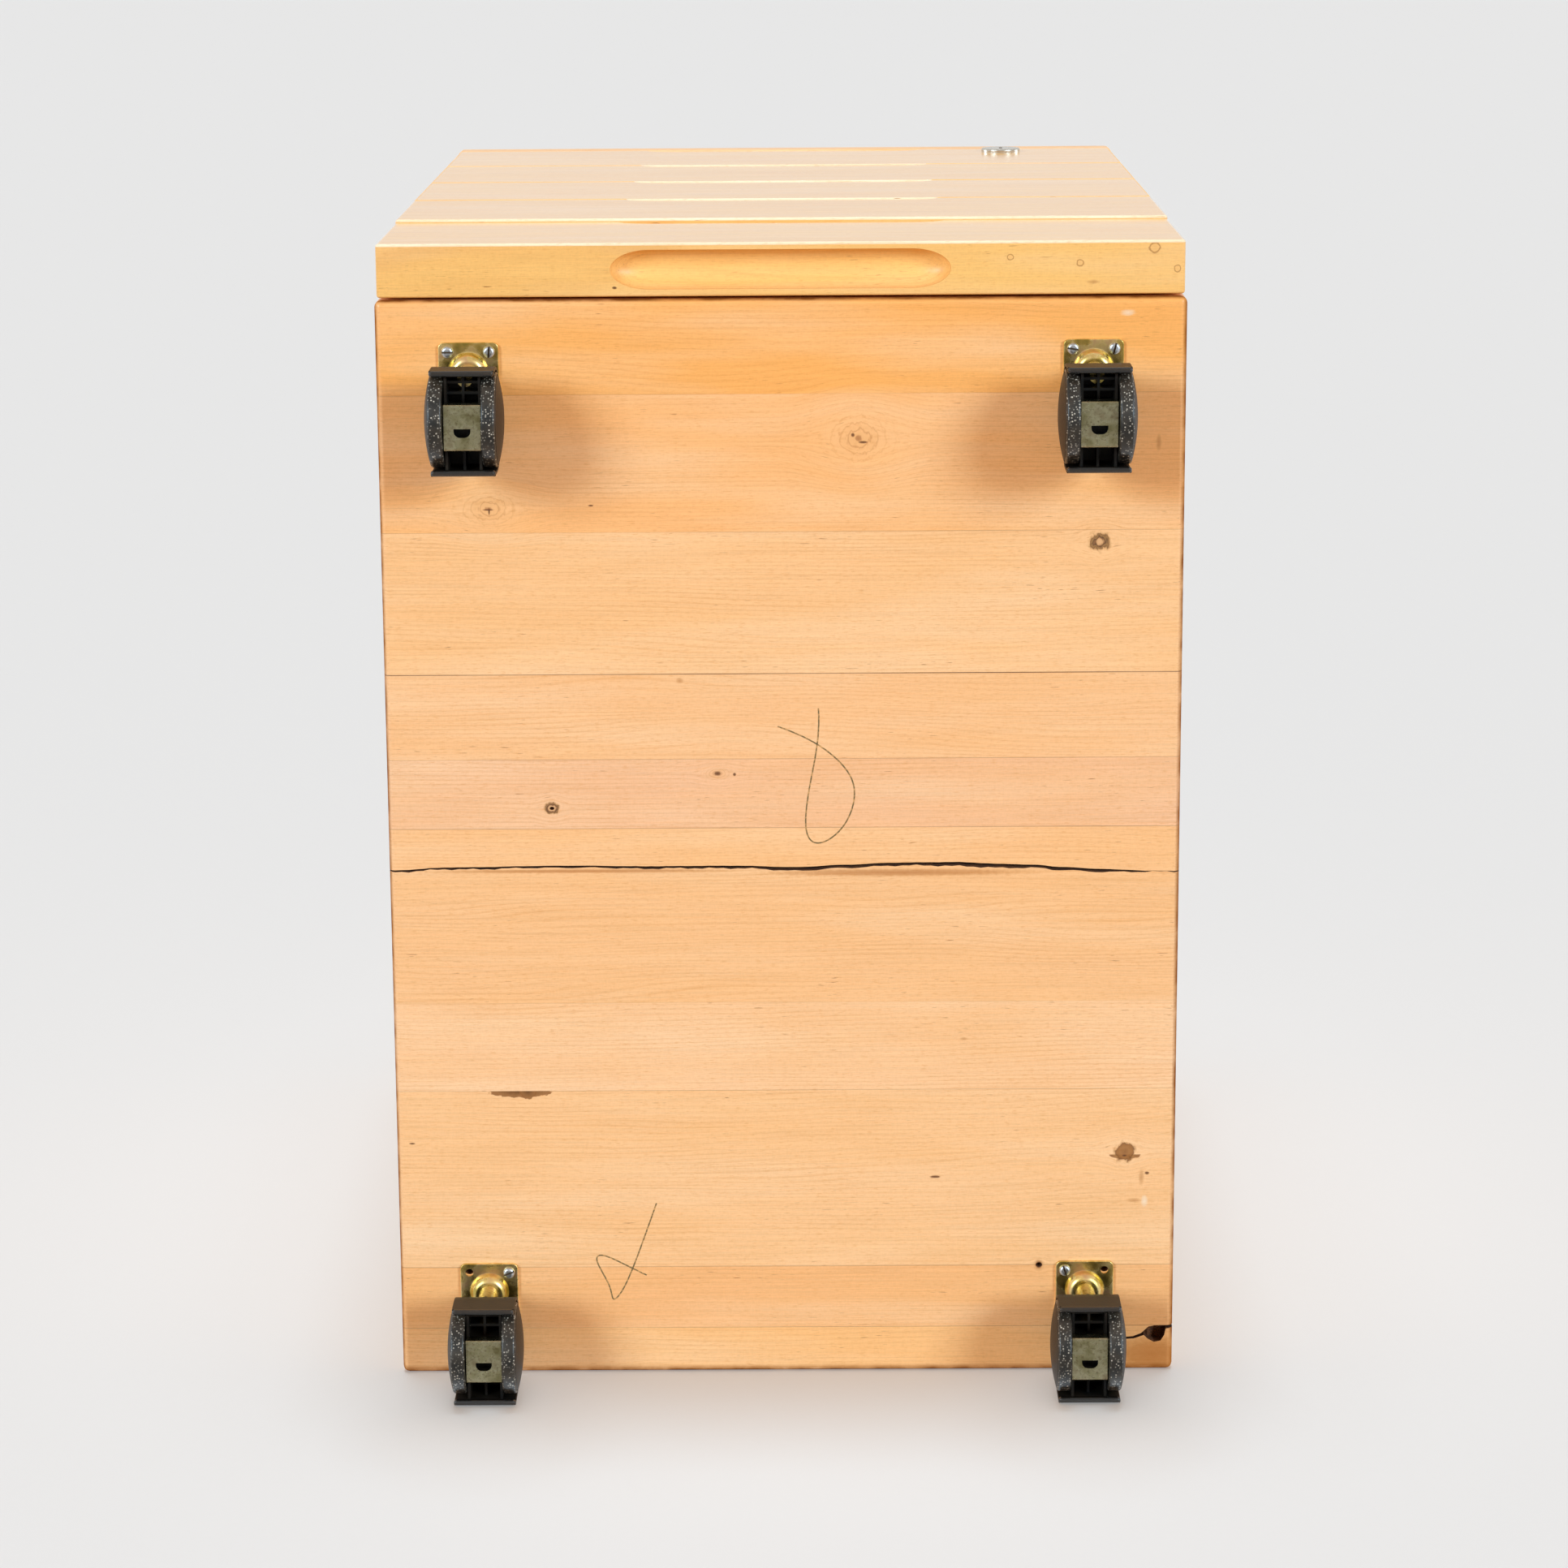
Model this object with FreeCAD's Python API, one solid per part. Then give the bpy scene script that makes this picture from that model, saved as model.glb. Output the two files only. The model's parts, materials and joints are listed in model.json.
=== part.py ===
import FreeCAD, Part
import math
import os

# Mobile drawer pedestal of solid wood on four twin-wheel swivel casters.
# Millimetres, +Z up, drawer fronts towards -Y, origin on the floor below the middle of the whole unit.

Vector = FreeCAD.Vector

# Carcass
carcass_width = 430.0
carcass_depth = 600.0
carcass_height = 600.0
side_thickness = 20.0
top_thickness = 20.0
bottom_thickness = 20.0
carcass_edge_radius = 3.5
tongue_thickness = 8.0
tongue_length = 7.0
back_thickness = 8.0
back_rebate_width = 6.0

# Drawer fronts
drawer_count = 5
front_thickness = 28.5
front_to_carcass_gap = 1.5
upper_front_stand_off = 1.7
front_side_reveal = 1.5
front_to_front_gap = 2.0
front_edge_radius = 1.5
scoop_length = 180.0
scoop_width = 21.0
scoop_run_out = 21.0
relief_height = 12.0

# Drawer boxes
drawer_side_thickness = 15.0
drawer_side_clearance = 2.0
drawer_floor_clearance = 4.0
drawer_top_margin = 4.0
drawer_rear_clearance = 60.0
drawer_back_thickness = 12.0
drawer_bottom_thickness = 5.0
drawer_bottom_lift = 8.0
drawer_bottom_groove = 6.0
side_housing_depth = 8.0

# Runner strips that the grooved drawer sides ride on
runner_height = 15.0
runner_groove_depth = 8.0
runner_clearance = 0.3
runner_end_clearance = 0.5
runner_front_setback = 12.0
runner_screw_inset = 60.0
runner_head_clearance = 0.8
runner_counterbore_clearance = 0.4

# Slotted pan-head wood screws, one size throughout
screw_length = 14.0
screw_radius = 1.7
screw_head_radius = 3.2
screw_head_height = 2.2
screw_head_rim = 0.6
screw_head_flat_radius = 1.6
screw_slot_width = 1.0
screw_slot_depth = 0.9
screw_hole_clearance = 0.05

# Cylinder cam lock in the top drawer's front
lock_side_inset = 72.5
lock_drop = 25.0
rosette_radius = 12.5
rosette_thickness = 2.5
rosette_edge_radius = 1.0
lock_barrel_radius = 9.5
lock_barrel_tail = 8.0
lock_barrel_clearance = 0.1
lock_nut_across_flats = 25.0
lock_nut_thickness = 5.0
plug_radius = 6.0
plug_rear_radius = 4.8
plug_head_length = 20.0
plug_clearance = 0.05
plug_end_play = 0.3
key_slot_width = 2.0
key_slot_height = 8.0
key_slot_depth = 12.0
cam_thickness = 3.0
cam_width = 14.0
cam_reach = 36.0
cam_square = 6.0
cam_square_clearance = 0.05
cam_rivet_radius = 4.4
cam_rivet_height = 1.2
cam_mortise_clearance = 1.5

# Casters
caster_side_inset = 49.5
caster_front_inset = 38.0
caster_back_margin = 0.9
caster_trail = 20.0
plate_size = 32.0
plate_thickness = 1.8
plate_corner_radius = 3.0
plate_screw_spacing = 22.0
plate_hole_clearance = 0.5
dome_radius = 10.4
dome_flat_radius = 6.0
dome_height = 5.5
stem_radius = 4.0
stem_length = 26.0
stem_clearance = 0.05
neck_radius = 5.8
neck_gap = 0.5
wheel_radius = 25.0
tread_width = 7.5
tread_edge_radius = 1.2
wheel_dome_height = 3.2
wheel_channel = 20.1
wheel_hub_radius = 6.5
wheel_rim_depth = 3.6
wheel_recess_depth = 4.5
wheel_cover_thickness = 1.6
hood_width = 34.0
hood_wall = 1.7
hood_clearance = 0.9
hood_to_board_gap = 9.4
hood_front_lip_drop = 14.5
hood_rear_lip_drop = 15.5
hood_lip_bead_radius = 1.7
cheek_thickness = 1.4
cheek_clearance = 0.45
cheek_drop = 10.0
web_rise = 8.0
rib_thickness = 1.4
rib_drop = 4.0
axle_radius = 2.5
axle_clearance = 0.05
axle_seat_clearance = 0.02
axle_end_gap = 0.4
clip_thickness = 1.2
clip_side_clearance = 0.45
clip_length = 24.6
clip_offset = 2.0
clip_cheek_gap = 0.5
clip_drop = 17.2
clip_slot_width = 8.8
clip_slot_length = 4.6
clip_slot_corner_radius = 3.4
clip_slot_offset = 2.8
clip_bend_radius = 1.0

# Places worked out from the sizes above
tolerance = 0.01
hood_inner_radius = wheel_radius + hood_clearance
hood_outer_radius = hood_inner_radius + hood_wall
caster_height = wheel_radius + hood_outer_radius + hood_to_board_gap
caster_rear_inset = caster_trail + hood_outer_radius + caster_back_margin
front_stand_off = front_to_carcass_gap + upper_front_stand_off
overall_depth = rosette_thickness + front_thickness + front_stand_off + carcass_depth
back_plane = overall_depth / 2
carcass_front = back_plane - carcass_depth
front_rear_face = carcass_front - front_stand_off
front_face = front_rear_face - front_thickness
half_width = carcass_width / 2
inner_half_width = half_width - side_thickness
underside = caster_height
floor_top = underside + bottom_thickness
carcass_top = underside + carcass_height
lid_underside = carcass_top - top_thickness
back_panel_face = back_plane - back_thickness
front_pitch = (carcass_height - top_thickness) / drawer_count
front_height = front_pitch - front_to_front_gap
front_half_width = half_width - front_side_reveal
box_lift = bottom_thickness + drawer_floor_clearance
box_height = front_height - box_lift - drawer_top_margin
box_half_width = inner_half_width - drawer_side_clearance
box_inner_half_width = box_half_width - drawer_side_thickness
box_rear = back_panel_face - drawer_rear_clearance
groove_height = runner_height + 2 * runner_clearance
runner_reach = drawer_side_clearance + runner_groove_depth - runner_end_clearance
runner_front = carcass_front + runner_front_setback
runner_counterbore_depth = screw_head_height + runner_head_clearance
runner_screw_seat = inner_half_width - runner_reach + runner_counterbore_depth
lock_offset_x = front_half_width - lock_side_inset
lock_z = underside + (drawer_count - 1) * front_pitch + front_height - lock_drop
barrel_end = front_thickness + lock_barrel_tail
plug_shoulder = plug_head_length - rosette_thickness
cam_start = barrel_end + plug_end_play
cam_end = cam_start + cam_thickness
wheel_inner_x = wheel_channel / 2
wheel_outer_x = wheel_inner_x + tread_width + wheel_dome_height
axle_half_length = wheel_outer_x - wheel_cover_thickness - axle_end_gap
cheek_outer_x = wheel_inner_x - cheek_clearance
cheek_inner_x = cheek_outer_x - cheek_thickness
rib_bottom = wheel_radius - rib_drop
clip_bottom = wheel_radius - clip_drop
cheek_bottom = wheel_radius - cheek_drop
clip_top = cheek_bottom - clip_cheek_gap
clip_middle = caster_trail + clip_offset
web_bottom = wheel_radius + web_rise
dome_bottom = underside - plate_thickness - dome_height
stem_top = dome_bottom + 2 * plate_thickness
stem_foot = stem_top - stem_length
caster_spread_x = half_width - caster_side_inset
caster_places = {
    "front_left": (-caster_spread_x, carcass_front + caster_front_inset),
    "front_right": (caster_spread_x, carcass_front + caster_front_inset),
    "rear_left": (-caster_spread_x, back_plane - caster_rear_inset),
    "rear_right": (caster_spread_x, back_plane - caster_rear_inset),
}
# The outer front hole of each rear plate has lost its screw.
empty_screw_holes = {("rear_left", -1, -1), ("rear_right", 1, -1)}


def box(low, high):
    """A block between two opposite corners."""
    size = Vector(*high) - Vector(*low)
    return Part.makeBox(size.x, size.y, size.z, Vector(*low))


def rod(radius, start, end):
    """A cylinder between the centres of its two end faces."""
    span = Vector(*end) - Vector(*start)
    return Part.makeCylinder(radius, span.Length, Vector(*start), span)


def round_edges(shape, radius, wanted):
    """Round the edges whose midpoint passes the test."""
    edges = [edge for edge in shape.Edges if wanted(edge.CenterOfMass)]
    return shape.makeFillet(radius, edges)


def turned(points, axis):
    """A full turn of an outline of straight lines and (through, to) arcs that ends where it began.

    Its points are (across, along) the axis.
    """
    def place(point):
        across, along = point
        return Vector(along, 0, across) if axis.x else Vector(across, 0, along)

    edges = []
    here = points[0]
    for step in points[1:]:
        if isinstance(step[0], tuple):
            through, there = step
            edges.append(Part.Arc(place(here), place(through), place(there)).toShape())
        else:
            there = step
            edges.append(Part.makeLine(place(here), place(there)))
        here = there
    face = Part.Face(Part.Wire(edges))
    return face.revolve(Vector(0, 0, 0), axis, 360)


def quarter(centre, start, end):
    """The step of an outline that turns a rounded corner about its centre."""
    through = tuple(c + (s - c + e - c) * math.sqrt(0.5) for c, s, e in zip(centre, start, end))
    return through, end


def near(value, target):
    """True where two places agree within the tolerance."""
    return abs(value - target) < tolerance


def mirror_x(shape):
    """The left-hand twin of a right-hand shape."""
    return shape.mirror(Vector(0, 0, 0), Vector(1, 0, 0))


def bottom_board():
    """Full-width board under the sides, grooved for their tongues and rebated for the back panel."""
    board = box((-half_width, carcass_front, underside), (half_width, back_plane, floor_top))
    board = round_edges(board, carcass_edge_radius, lambda p: p.z < floor_top - tolerance)
    board = board.cut(tongue_tools(floor_top - tongue_length, floor_top))
    board = board.cut(back_rebate())
    for hole in caster_screw_places():
        board = board.cut(screw_hole(hole, Vector(0, 0, 1)))
    return board


def top_board():
    """Board over the sides and the fronts, with a mortise that the lock cam turns up into."""
    board = box((-half_width, front_face, lid_underside), (half_width, back_plane, carcass_top))
    board = round_edges(
        board, carcass_edge_radius, lambda p: p.z > lid_underside + tolerance or near(p.y, front_face))
    board = board.cut(tongue_tools(lid_underside, lid_underside + tongue_length))
    board = board.cut(back_rebate())
    return board.cut(cam_mortise())


def tongue_tools(low, high):
    """The two grooves along the boards that take the sides' tongues."""
    centre = half_width - side_thickness / 2
    right = box((centre - tongue_thickness / 2, carcass_front, low),
                (centre + tongue_thickness / 2, back_plane, high))
    return right.fuse(mirror_x(right))


def back_rebate():
    """The space of the back panel, let into the rear edges all round."""
    half = inner_half_width + back_rebate_width
    return box((-half, back_panel_face, floor_top - back_rebate_width),
               (half, back_plane, lid_underside + back_rebate_width))


def right_side():
    """Side board with a tongue at each end and holes for the runner screws."""
    board = box((inner_half_width, carcass_front, floor_top), (half_width, back_plane, lid_underside))
    board = round_edges(
        board, carcass_edge_radius,
        lambda p: near(p.x, half_width) and floor_top + tolerance < p.z < lid_underside - tolerance)
    centre = half_width - side_thickness / 2
    tongue = box((centre - tongue_thickness / 2, carcass_front, floor_top - tongue_length),
                 (centre + tongue_thickness / 2, back_plane, lid_underside + tongue_length))
    board = board.fuse(tongue).cut(back_rebate())
    for place in runner_screw_places():
        board = board.cut(screw_hole(place, Vector(1, 0, 0)))
    return board.removeSplitter()


def back_panel():
    """Plain panel in the rear rebate."""
    return back_rebate()


def finger_cove(radius, centre):
    """A long cove cutter with elliptical ends, lying along X."""
    straight = scoop_length / 2 - scoop_run_out
    right_end = Part.Ellipse(Vector(straight, 0, 0), scoop_run_out, radius)
    outline = [
        Part.makeLine(Vector(0, 0, 0), Vector(straight + scoop_run_out, 0, 0)),
        Part.ArcOfEllipse(right_end, 0, math.pi / 2).toShape(),
        Part.makeLine(Vector(straight, radius, 0), Vector(0, radius, 0)),
        Part.makeLine(Vector(0, radius, 0), Vector(0, 0, 0)),
    ]
    half = Part.Face(Part.Wire(outline)).revolve(Vector(0, 0, 0), Vector(1, 0, 0), 360)
    cove = half.fuse(mirror_x(half)).removeSplitter()
    cove.translate(Vector(*centre))
    return cove


def front_bottom(number):
    """Height of the lower edge of a drawer front, counted from the lowest drawer as 1."""
    return underside + (number - 1) * front_pitch


def set_back(number):
    """How far a drawer sits behind the others: the lowest one closes up to the carcass."""
    return upper_front_stand_off if number == 1 else 0


def drawer_front(number):
    """Thick overlay front with a finger scoop below, a finger relief above and housings for the box."""
    low = front_bottom(number)
    high = low + front_height
    front = box((-front_half_width, front_face, low), (front_half_width, front_rear_face, high))
    front = front.makeFillet(front_edge_radius, front.Edges)
    front = front.cut(finger_cove(scoop_width / 2, (0, front_face + front_thickness / 2, low)))
    front = front.cut(finger_cove(relief_height, (0, front_face, high)))
    right_housing = drawer_side_blank(number)
    front = front.cut(right_housing).cut(mirror_x(right_housing))
    front = front.cut(drawer_bottom(number))
    if number == drawer_count:
        front = front.cut(rod(lock_barrel_radius + lock_barrel_clearance,
                              (lock_offset_x, front_face, lock_z),
                              (lock_offset_x, front_rear_face, lock_z)))
    return front


def drawer_side_blank(number):
    """Right-hand drawer side before grooving, let into the front."""
    low = front_bottom(number) + box_lift
    return box((box_inner_half_width, front_rear_face - side_housing_depth, low),
               (box_half_width, box_rear, low + box_height))


def drawer_side(number):
    """Right-hand drawer side with the runner groove outside and the bottom's groove inside."""
    low = front_bottom(number) + box_lift
    middle = low + box_height / 2
    groove = box((box_half_width - runner_groove_depth, front_rear_face, middle - groove_height / 2),
                 (box_half_width, box_rear, middle + groove_height / 2))
    return drawer_side_blank(number).cut(groove).cut(drawer_bottom(number))


def drawer_back(number):
    """Back board between the sides, standing on the bottom."""
    low = front_bottom(number) + box_lift
    return box((-box_inner_half_width, box_rear - drawer_back_thickness,
                low + drawer_bottom_lift + drawer_bottom_thickness),
               (box_inner_half_width, box_rear, low + box_height))


def drawer_bottom(number):
    """Plywood bottom in grooves of the sides and the front."""
    low = front_bottom(number) + box_lift + drawer_bottom_lift
    half = box_inner_half_width + drawer_bottom_groove
    return box((-half, front_rear_face - drawer_bottom_groove, low),
               (half, box_rear, low + drawer_bottom_thickness))


def runner_middle(number):
    """Height of the middle of a drawer's runners."""
    return front_bottom(number) + box_lift + box_height / 2


def runner(number):
    """Right-hand runner strip with counterbored screw holes."""
    middle = runner_middle(number)
    strip = box((inner_half_width - runner_reach, runner_front, middle - runner_height / 2),
                (inner_half_width, box_rear, middle + runner_height / 2))
    for y in runner_screw_rows():
        strip = strip.cut(rod(screw_head_radius + runner_counterbore_clearance,
                              (inner_half_width - runner_reach, y, middle), (runner_screw_seat, y, middle)))
        strip = strip.cut(screw_hole(Vector(runner_screw_seat, y, middle), Vector(1, 0, 0)))
    return strip


def runner_screw_rows():
    """Places along the depth of the two screws in each runner."""
    return (runner_front + runner_screw_inset, box_rear - runner_screw_inset)


def runner_screw_places():
    """Head seats of the screws in the right-hand runners."""
    return [Vector(runner_screw_seat, y, runner_middle(number))
            for number in range(1, drawer_count + 1) for y in runner_screw_rows()]


def drawer_runners():
    """All runner strips, left and right."""
    right = [runner(number) for number in range(1, drawer_count + 1)]
    return Part.Compound(right + [mirror_x(strip) for strip in right])


def screw_hole(seat, direction):
    """Hole of a wood screw from its head seat inwards."""
    return Part.makeCylinder(screw_radius + screw_hole_clearance, screw_length, seat, direction)


def wood_screw(seat, direction):
    """Pan-head screw with a slot, its head standing out against the direction it was driven."""
    rim = (screw_head_radius, -screw_head_rim)
    flat = (screw_head_flat_radius, -screw_head_height)
    profile = [
        (0, screw_length),
        (screw_radius, screw_length - screw_radius),
        (screw_radius, 0),
        (screw_head_radius, 0),
        rim,
        quarter((screw_head_flat_radius, -screw_head_rim), rim, flat),
        (0, -screw_head_height),
        (0, screw_length),
    ]
    screw = turned(profile, Vector(0, 0, 1))
    slot = box((-screw_head_radius, -screw_slot_width / 2, -screw_head_height),
               (screw_head_radius, screw_slot_width / 2, -screw_head_height + screw_slot_depth))
    screw = screw.cut(slot)
    screw.Placement = FreeCAD.Placement(seat, FreeCAD.Rotation(Vector(0, 0, 1), direction))
    return screw


def caster_screw_places():
    """Head seats of the screws that hold the caster plates."""
    places = []
    for name, (x, y) in caster_places.items():
        for side in (-1, 1):
            for end in (-1, 1):
                if (name, side, end) in empty_screw_holes:
                    continue
                places.append(Vector(x + side * plate_screw_spacing / 2, y + end * plate_screw_spacing / 2,
                                     underside - plate_thickness))
    return places


def wood_screws():
    """Every screw of the unit: caster plates and runners."""
    screws = [wood_screw(place, Vector(0, 0, 1)) for place in caster_screw_places()]
    right = [wood_screw(place, Vector(1, 0, 0)) for place in runner_screw_places()]
    return Part.Compound(screws + right + [mirror_x(screw) for screw in right])


def lock_rod(radius, start, end):
    """A cylinder on the lock's axis between two depths behind the front face."""
    return rod(radius, (lock_offset_x, front_face + start, lock_z), (lock_offset_x, front_face + end, lock_z))


def lock_cylinder():
    """Rosette and barrel in one, bored in two steps for the plug."""
    rosette = lock_rod(rosette_radius, -rosette_thickness, 0)
    rosette = round_edges(rosette, rosette_edge_radius, lambda p: near(p.y, front_face - rosette_thickness))
    body = rosette.fuse(lock_rod(lock_barrel_radius, 0, barrel_end)).removeSplitter()
    body = body.cut(lock_rod(plug_radius + plug_clearance, -rosette_thickness, plug_shoulder + plug_end_play))
    return body.cut(lock_rod(plug_rear_radius + plug_clearance, plug_shoulder, barrel_end))


def lock_nut():
    """Hexagon nut that clamps the barrel against the back of the front."""
    corner = lock_nut_across_flats / math.sqrt(3)
    corners = [Vector(lock_offset_x + corner * math.cos(math.radians(60 * i)), front_rear_face,
                      lock_z + corner * math.sin(math.radians(60 * i))) for i in range(7)]
    nut = Part.Face(Part.makePolygon(corners)).extrude(Vector(0, lock_nut_thickness, 0))
    return nut.cut(lock_rod(lock_barrel_radius + lock_barrel_clearance, front_thickness, barrel_end))


def lock_plug():
    """Keyed plug, stepped so that it can't be pushed through, with a square tail riveted over the cam."""
    plug = lock_rod(plug_radius, -rosette_thickness, plug_shoulder)
    plug = plug.fuse(lock_rod(plug_rear_radius, plug_shoulder, cam_start))
    plug = plug.fuse(box(
        (lock_offset_x - cam_square / 2, front_face + cam_start, lock_z - cam_square / 2),
        (lock_offset_x + cam_square / 2, front_face + cam_end, lock_z + cam_square / 2)))
    plug = plug.fuse(lock_rod(cam_rivet_radius, cam_end, cam_end + cam_rivet_height))
    return plug.cut(box(
        (lock_offset_x - key_slot_width / 2, front_face - rosette_thickness, lock_z - key_slot_height / 2),
        (lock_offset_x + key_slot_width / 2, front_face - rosette_thickness + key_slot_depth,
         lock_z + key_slot_height / 2)))


def lock_cam():
    """Flat cam on the plug's tail, pointing to the middle of the drawer when unlocked."""
    cam = box((lock_offset_x - cam_reach, front_face + cam_start, lock_z - cam_width / 2),
              (lock_offset_x, front_face + cam_end, lock_z + cam_width / 2))
    cam = cam.fuse(lock_rod(cam_width / 2, cam_start, cam_end)).removeSplitter()
    hole = cam_square / 2 + cam_square_clearance
    return cam.cut(box((lock_offset_x - hole, front_face + cam_start, lock_z - hole),
                       (lock_offset_x + hole, front_face + cam_end, lock_z + hole)))


def cam_mortise():
    """Pocket in the underside of the top board with room for the cam's swing."""
    height = lid_underside - lock_z
    tip = math.hypot(cam_reach, cam_width / 2)
    swing = math.sqrt(tip ** 2 - height ** 2)
    return box(
        (lock_offset_x - swing - cam_mortise_clearance, front_face + cam_start - cam_mortise_clearance,
         lid_underside),
        (lock_offset_x + cam_width / 2 + cam_mortise_clearance,
         front_face + cam_end + cam_rivet_height + cam_mortise_clearance,
         lock_z + tip + cam_mortise_clearance))


def caster_plate():
    """Pressed top plate with a hollow dome and the swivel stem riveted into it."""
    half = plate_size / 2
    level = underside - plate_thickness
    plate = box((-half, -half, level), (half, half, underside))
    plate = round_edges(
        plate, plate_corner_radius, lambda p: near(abs(p.x), half) and near(abs(p.y), half))
    foot = (dome_radius, level)
    crown = (dome_flat_radius, dome_bottom)
    dome = turned([
        (0, underside),
        (dome_radius, underside),
        foot,
        quarter((dome_flat_radius, level), foot, crown),
        (0, dome_bottom),
        (0, underside),
    ], Vector(0, 0, 1))
    plate = plate.fuse(dome).cut(rod(dome_flat_radius, (0, 0, stem_top), (0, 0, underside)))
    for x in (-1, 1):
        for y in (-1, 1):
            at = (x * plate_screw_spacing / 2, y * plate_screw_spacing / 2)
            plate = plate.cut(rod(screw_radius + plate_hole_clearance, (*at, level), (*at, underside)))
    stem = rod(stem_radius, (0, 0, stem_foot), (0, 0, stem_top))
    return plate.fuse(stem).removeSplitter()


def arch(radius, half_x, foot):
    """A block with a half-round top about the axle line and straight walls down to the foot."""
    front = caster_trail - radius
    rear = caster_trail + radius
    outline = [
        Part.makeLine(Vector(-half_x, front, foot), Vector(-half_x, front, wheel_radius)),
        Part.Arc(Vector(-half_x, front, wheel_radius), Vector(-half_x, caster_trail, wheel_radius + radius),
                 Vector(-half_x, rear, wheel_radius)).toShape(),
        Part.makeLine(Vector(-half_x, rear, wheel_radius), Vector(-half_x, rear, foot)),
        Part.makeLine(Vector(-half_x, rear, foot), Vector(-half_x, front, foot)),
    ]
    return Part.Face(Part.Wire(outline)).extrude(Vector(2 * half_x, 0, 0))


def caster_hood():
    """Moulded hood: an arch over both wheels, a ribbed block between them and a neck round the stem."""
    half_x = hood_width / 2
    front_wall = caster_trail - hood_outer_radius
    rear_wall = caster_trail + hood_outer_radius
    front_lip = wheel_radius - hood_front_lip_drop
    rear_lip = wheel_radius - hood_rear_lip_drop

    shell = arch(hood_outer_radius, half_x, rear_lip).cut(arch(hood_inner_radius, half_x, rear_lip))
    shell = shell.cut(box((-half_x, front_wall, rear_lip), (half_x, caster_trail, front_lip)))
    front_bead = front_wall + hood_lip_bead_radius
    rear_bead = rear_wall - hood_lip_bead_radius
    for y, z in ((front_bead, front_lip), (rear_bead, rear_lip)):
        shell = shell.fuse(rod(hood_lip_bead_radius, (-half_x, y, z), (half_x, y, z)))

    cheeks = arch(hood_inner_radius, cheek_outer_x, cheek_bottom)
    pocket = box((-cheek_inner_x, front_wall, 0), (cheek_inner_x, rear_wall, web_bottom))
    body = shell.fuse(cheeks.cut(pocket))

    block_front = clip_middle - clip_length / 2 + clip_thickness
    block_rear = clip_middle + clip_length / 2 - clip_thickness
    body = body.fuse(box((-cheek_inner_x, block_front, clip_bottom + clip_thickness),
                         (cheek_inner_x, block_rear, web_bottom)))
    body = body.fuse(hood_ribs(front_wall + hood_wall, block_front, rear_wall - hood_wall))

    neck_top = dome_bottom - neck_gap
    body = body.fuse(rod(neck_radius, (0, 0, web_bottom), (0, 0, neck_top)))
    body = body.cut(rod(stem_radius + stem_clearance, (0, 0, stem_foot - neck_gap), (0, 0, neck_top)))
    body = body.cut(rod(axle_radius + axle_seat_clearance,
                        (-half_x, caster_trail, wheel_radius), (half_x, caster_trail, wheel_radius)))
    return body.removeSplitter()


def hood_ribs(front, block_front, rear):
    """Two cross ribs ahead of the axle block and one rib down the middle."""
    ribs = box((-rib_thickness / 2, front, rib_bottom), (rib_thickness / 2, rear, web_bottom))
    for share in (1 / 3, 2 / 3):
        y = front + share * (block_front - front)
        ribs = ribs.fuse(box((-cheek_inner_x, y - rib_thickness / 2, rib_bottom),
                             (cheek_inner_x, y + rib_thickness / 2, web_bottom)))
    return ribs


def caster_clip():
    """Bent steel clip under the axle block, with a slot that is straight in front and rounded behind."""
    half_x = wheel_inner_x - clip_side_clearance
    front = clip_middle - clip_length / 2
    rear = clip_middle + clip_length / 2
    low = clip_bottom
    outer = box((-half_x, front, low), (half_x, rear, clip_top))
    outer = round_edges(outer, clip_bend_radius, lambda p: near(p.z, low) and near(p.x, 0))
    inner = box((-half_x, front + clip_thickness, low + clip_thickness),
                (half_x, rear - clip_thickness, clip_top))
    slot_y = clip_middle + clip_slot_offset
    slot = box((-clip_slot_width / 2, slot_y - clip_slot_length / 2, low),
               (clip_slot_width / 2, slot_y + clip_slot_length / 2, low + clip_thickness))
    slot = round_edges(
        slot, clip_slot_corner_radius, lambda p: near(p.z, low + clip_thickness / 2) and p.y > slot_y)
    return outer.cut(inner).cut(slot)


def caster_axle():
    """Plain steel pin through the hood and both wheels."""
    return rod(axle_radius, (-axle_half_length, caster_trail, wheel_radius),
               (axle_half_length, caster_trail, wheel_radius))


def caster_wheel():
    """Right-hand wheel: flat tread, domed cover outside, hub and open web inside."""
    tread_end = wheel_inner_x + tread_width
    edge = wheel_radius - tread_edge_radius
    inner_edge = (wheel_radius, wheel_inner_x + tread_edge_radius)
    outer_edge = (wheel_radius, tread_end - tread_edge_radius)
    cover_curve = (edge ** 2 + wheel_dome_height ** 2) / (2 * wheel_dome_height)
    cover_middle = wheel_outer_x - cover_curve + math.sqrt(cover_curve ** 2 - (edge / 2) ** 2)
    bore = axle_radius + axle_clearance
    bore_end = wheel_outer_x - wheel_cover_thickness
    recess = wheel_inner_x + wheel_recess_depth
    rim = wheel_radius - wheel_rim_depth
    wheel = turned([
        (0, wheel_outer_x),
        (0, bore_end),
        (bore, bore_end),
        (bore, wheel_inner_x),
        (wheel_hub_radius, wheel_inner_x),
        (wheel_hub_radius, recess),
        (rim, recess),
        (rim, wheel_inner_x),
        (edge, wheel_inner_x),
        quarter((edge, inner_edge[1]), (edge, wheel_inner_x), inner_edge),
        outer_edge,
        quarter((edge, outer_edge[1]), outer_edge, (edge, tread_end)),
        ((edge / 2, cover_middle), (0, wheel_outer_x)),
    ], Vector(1, 0, 0))
    wheel.translate(Vector(0, caster_trail, wheel_radius))
    return wheel


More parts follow.
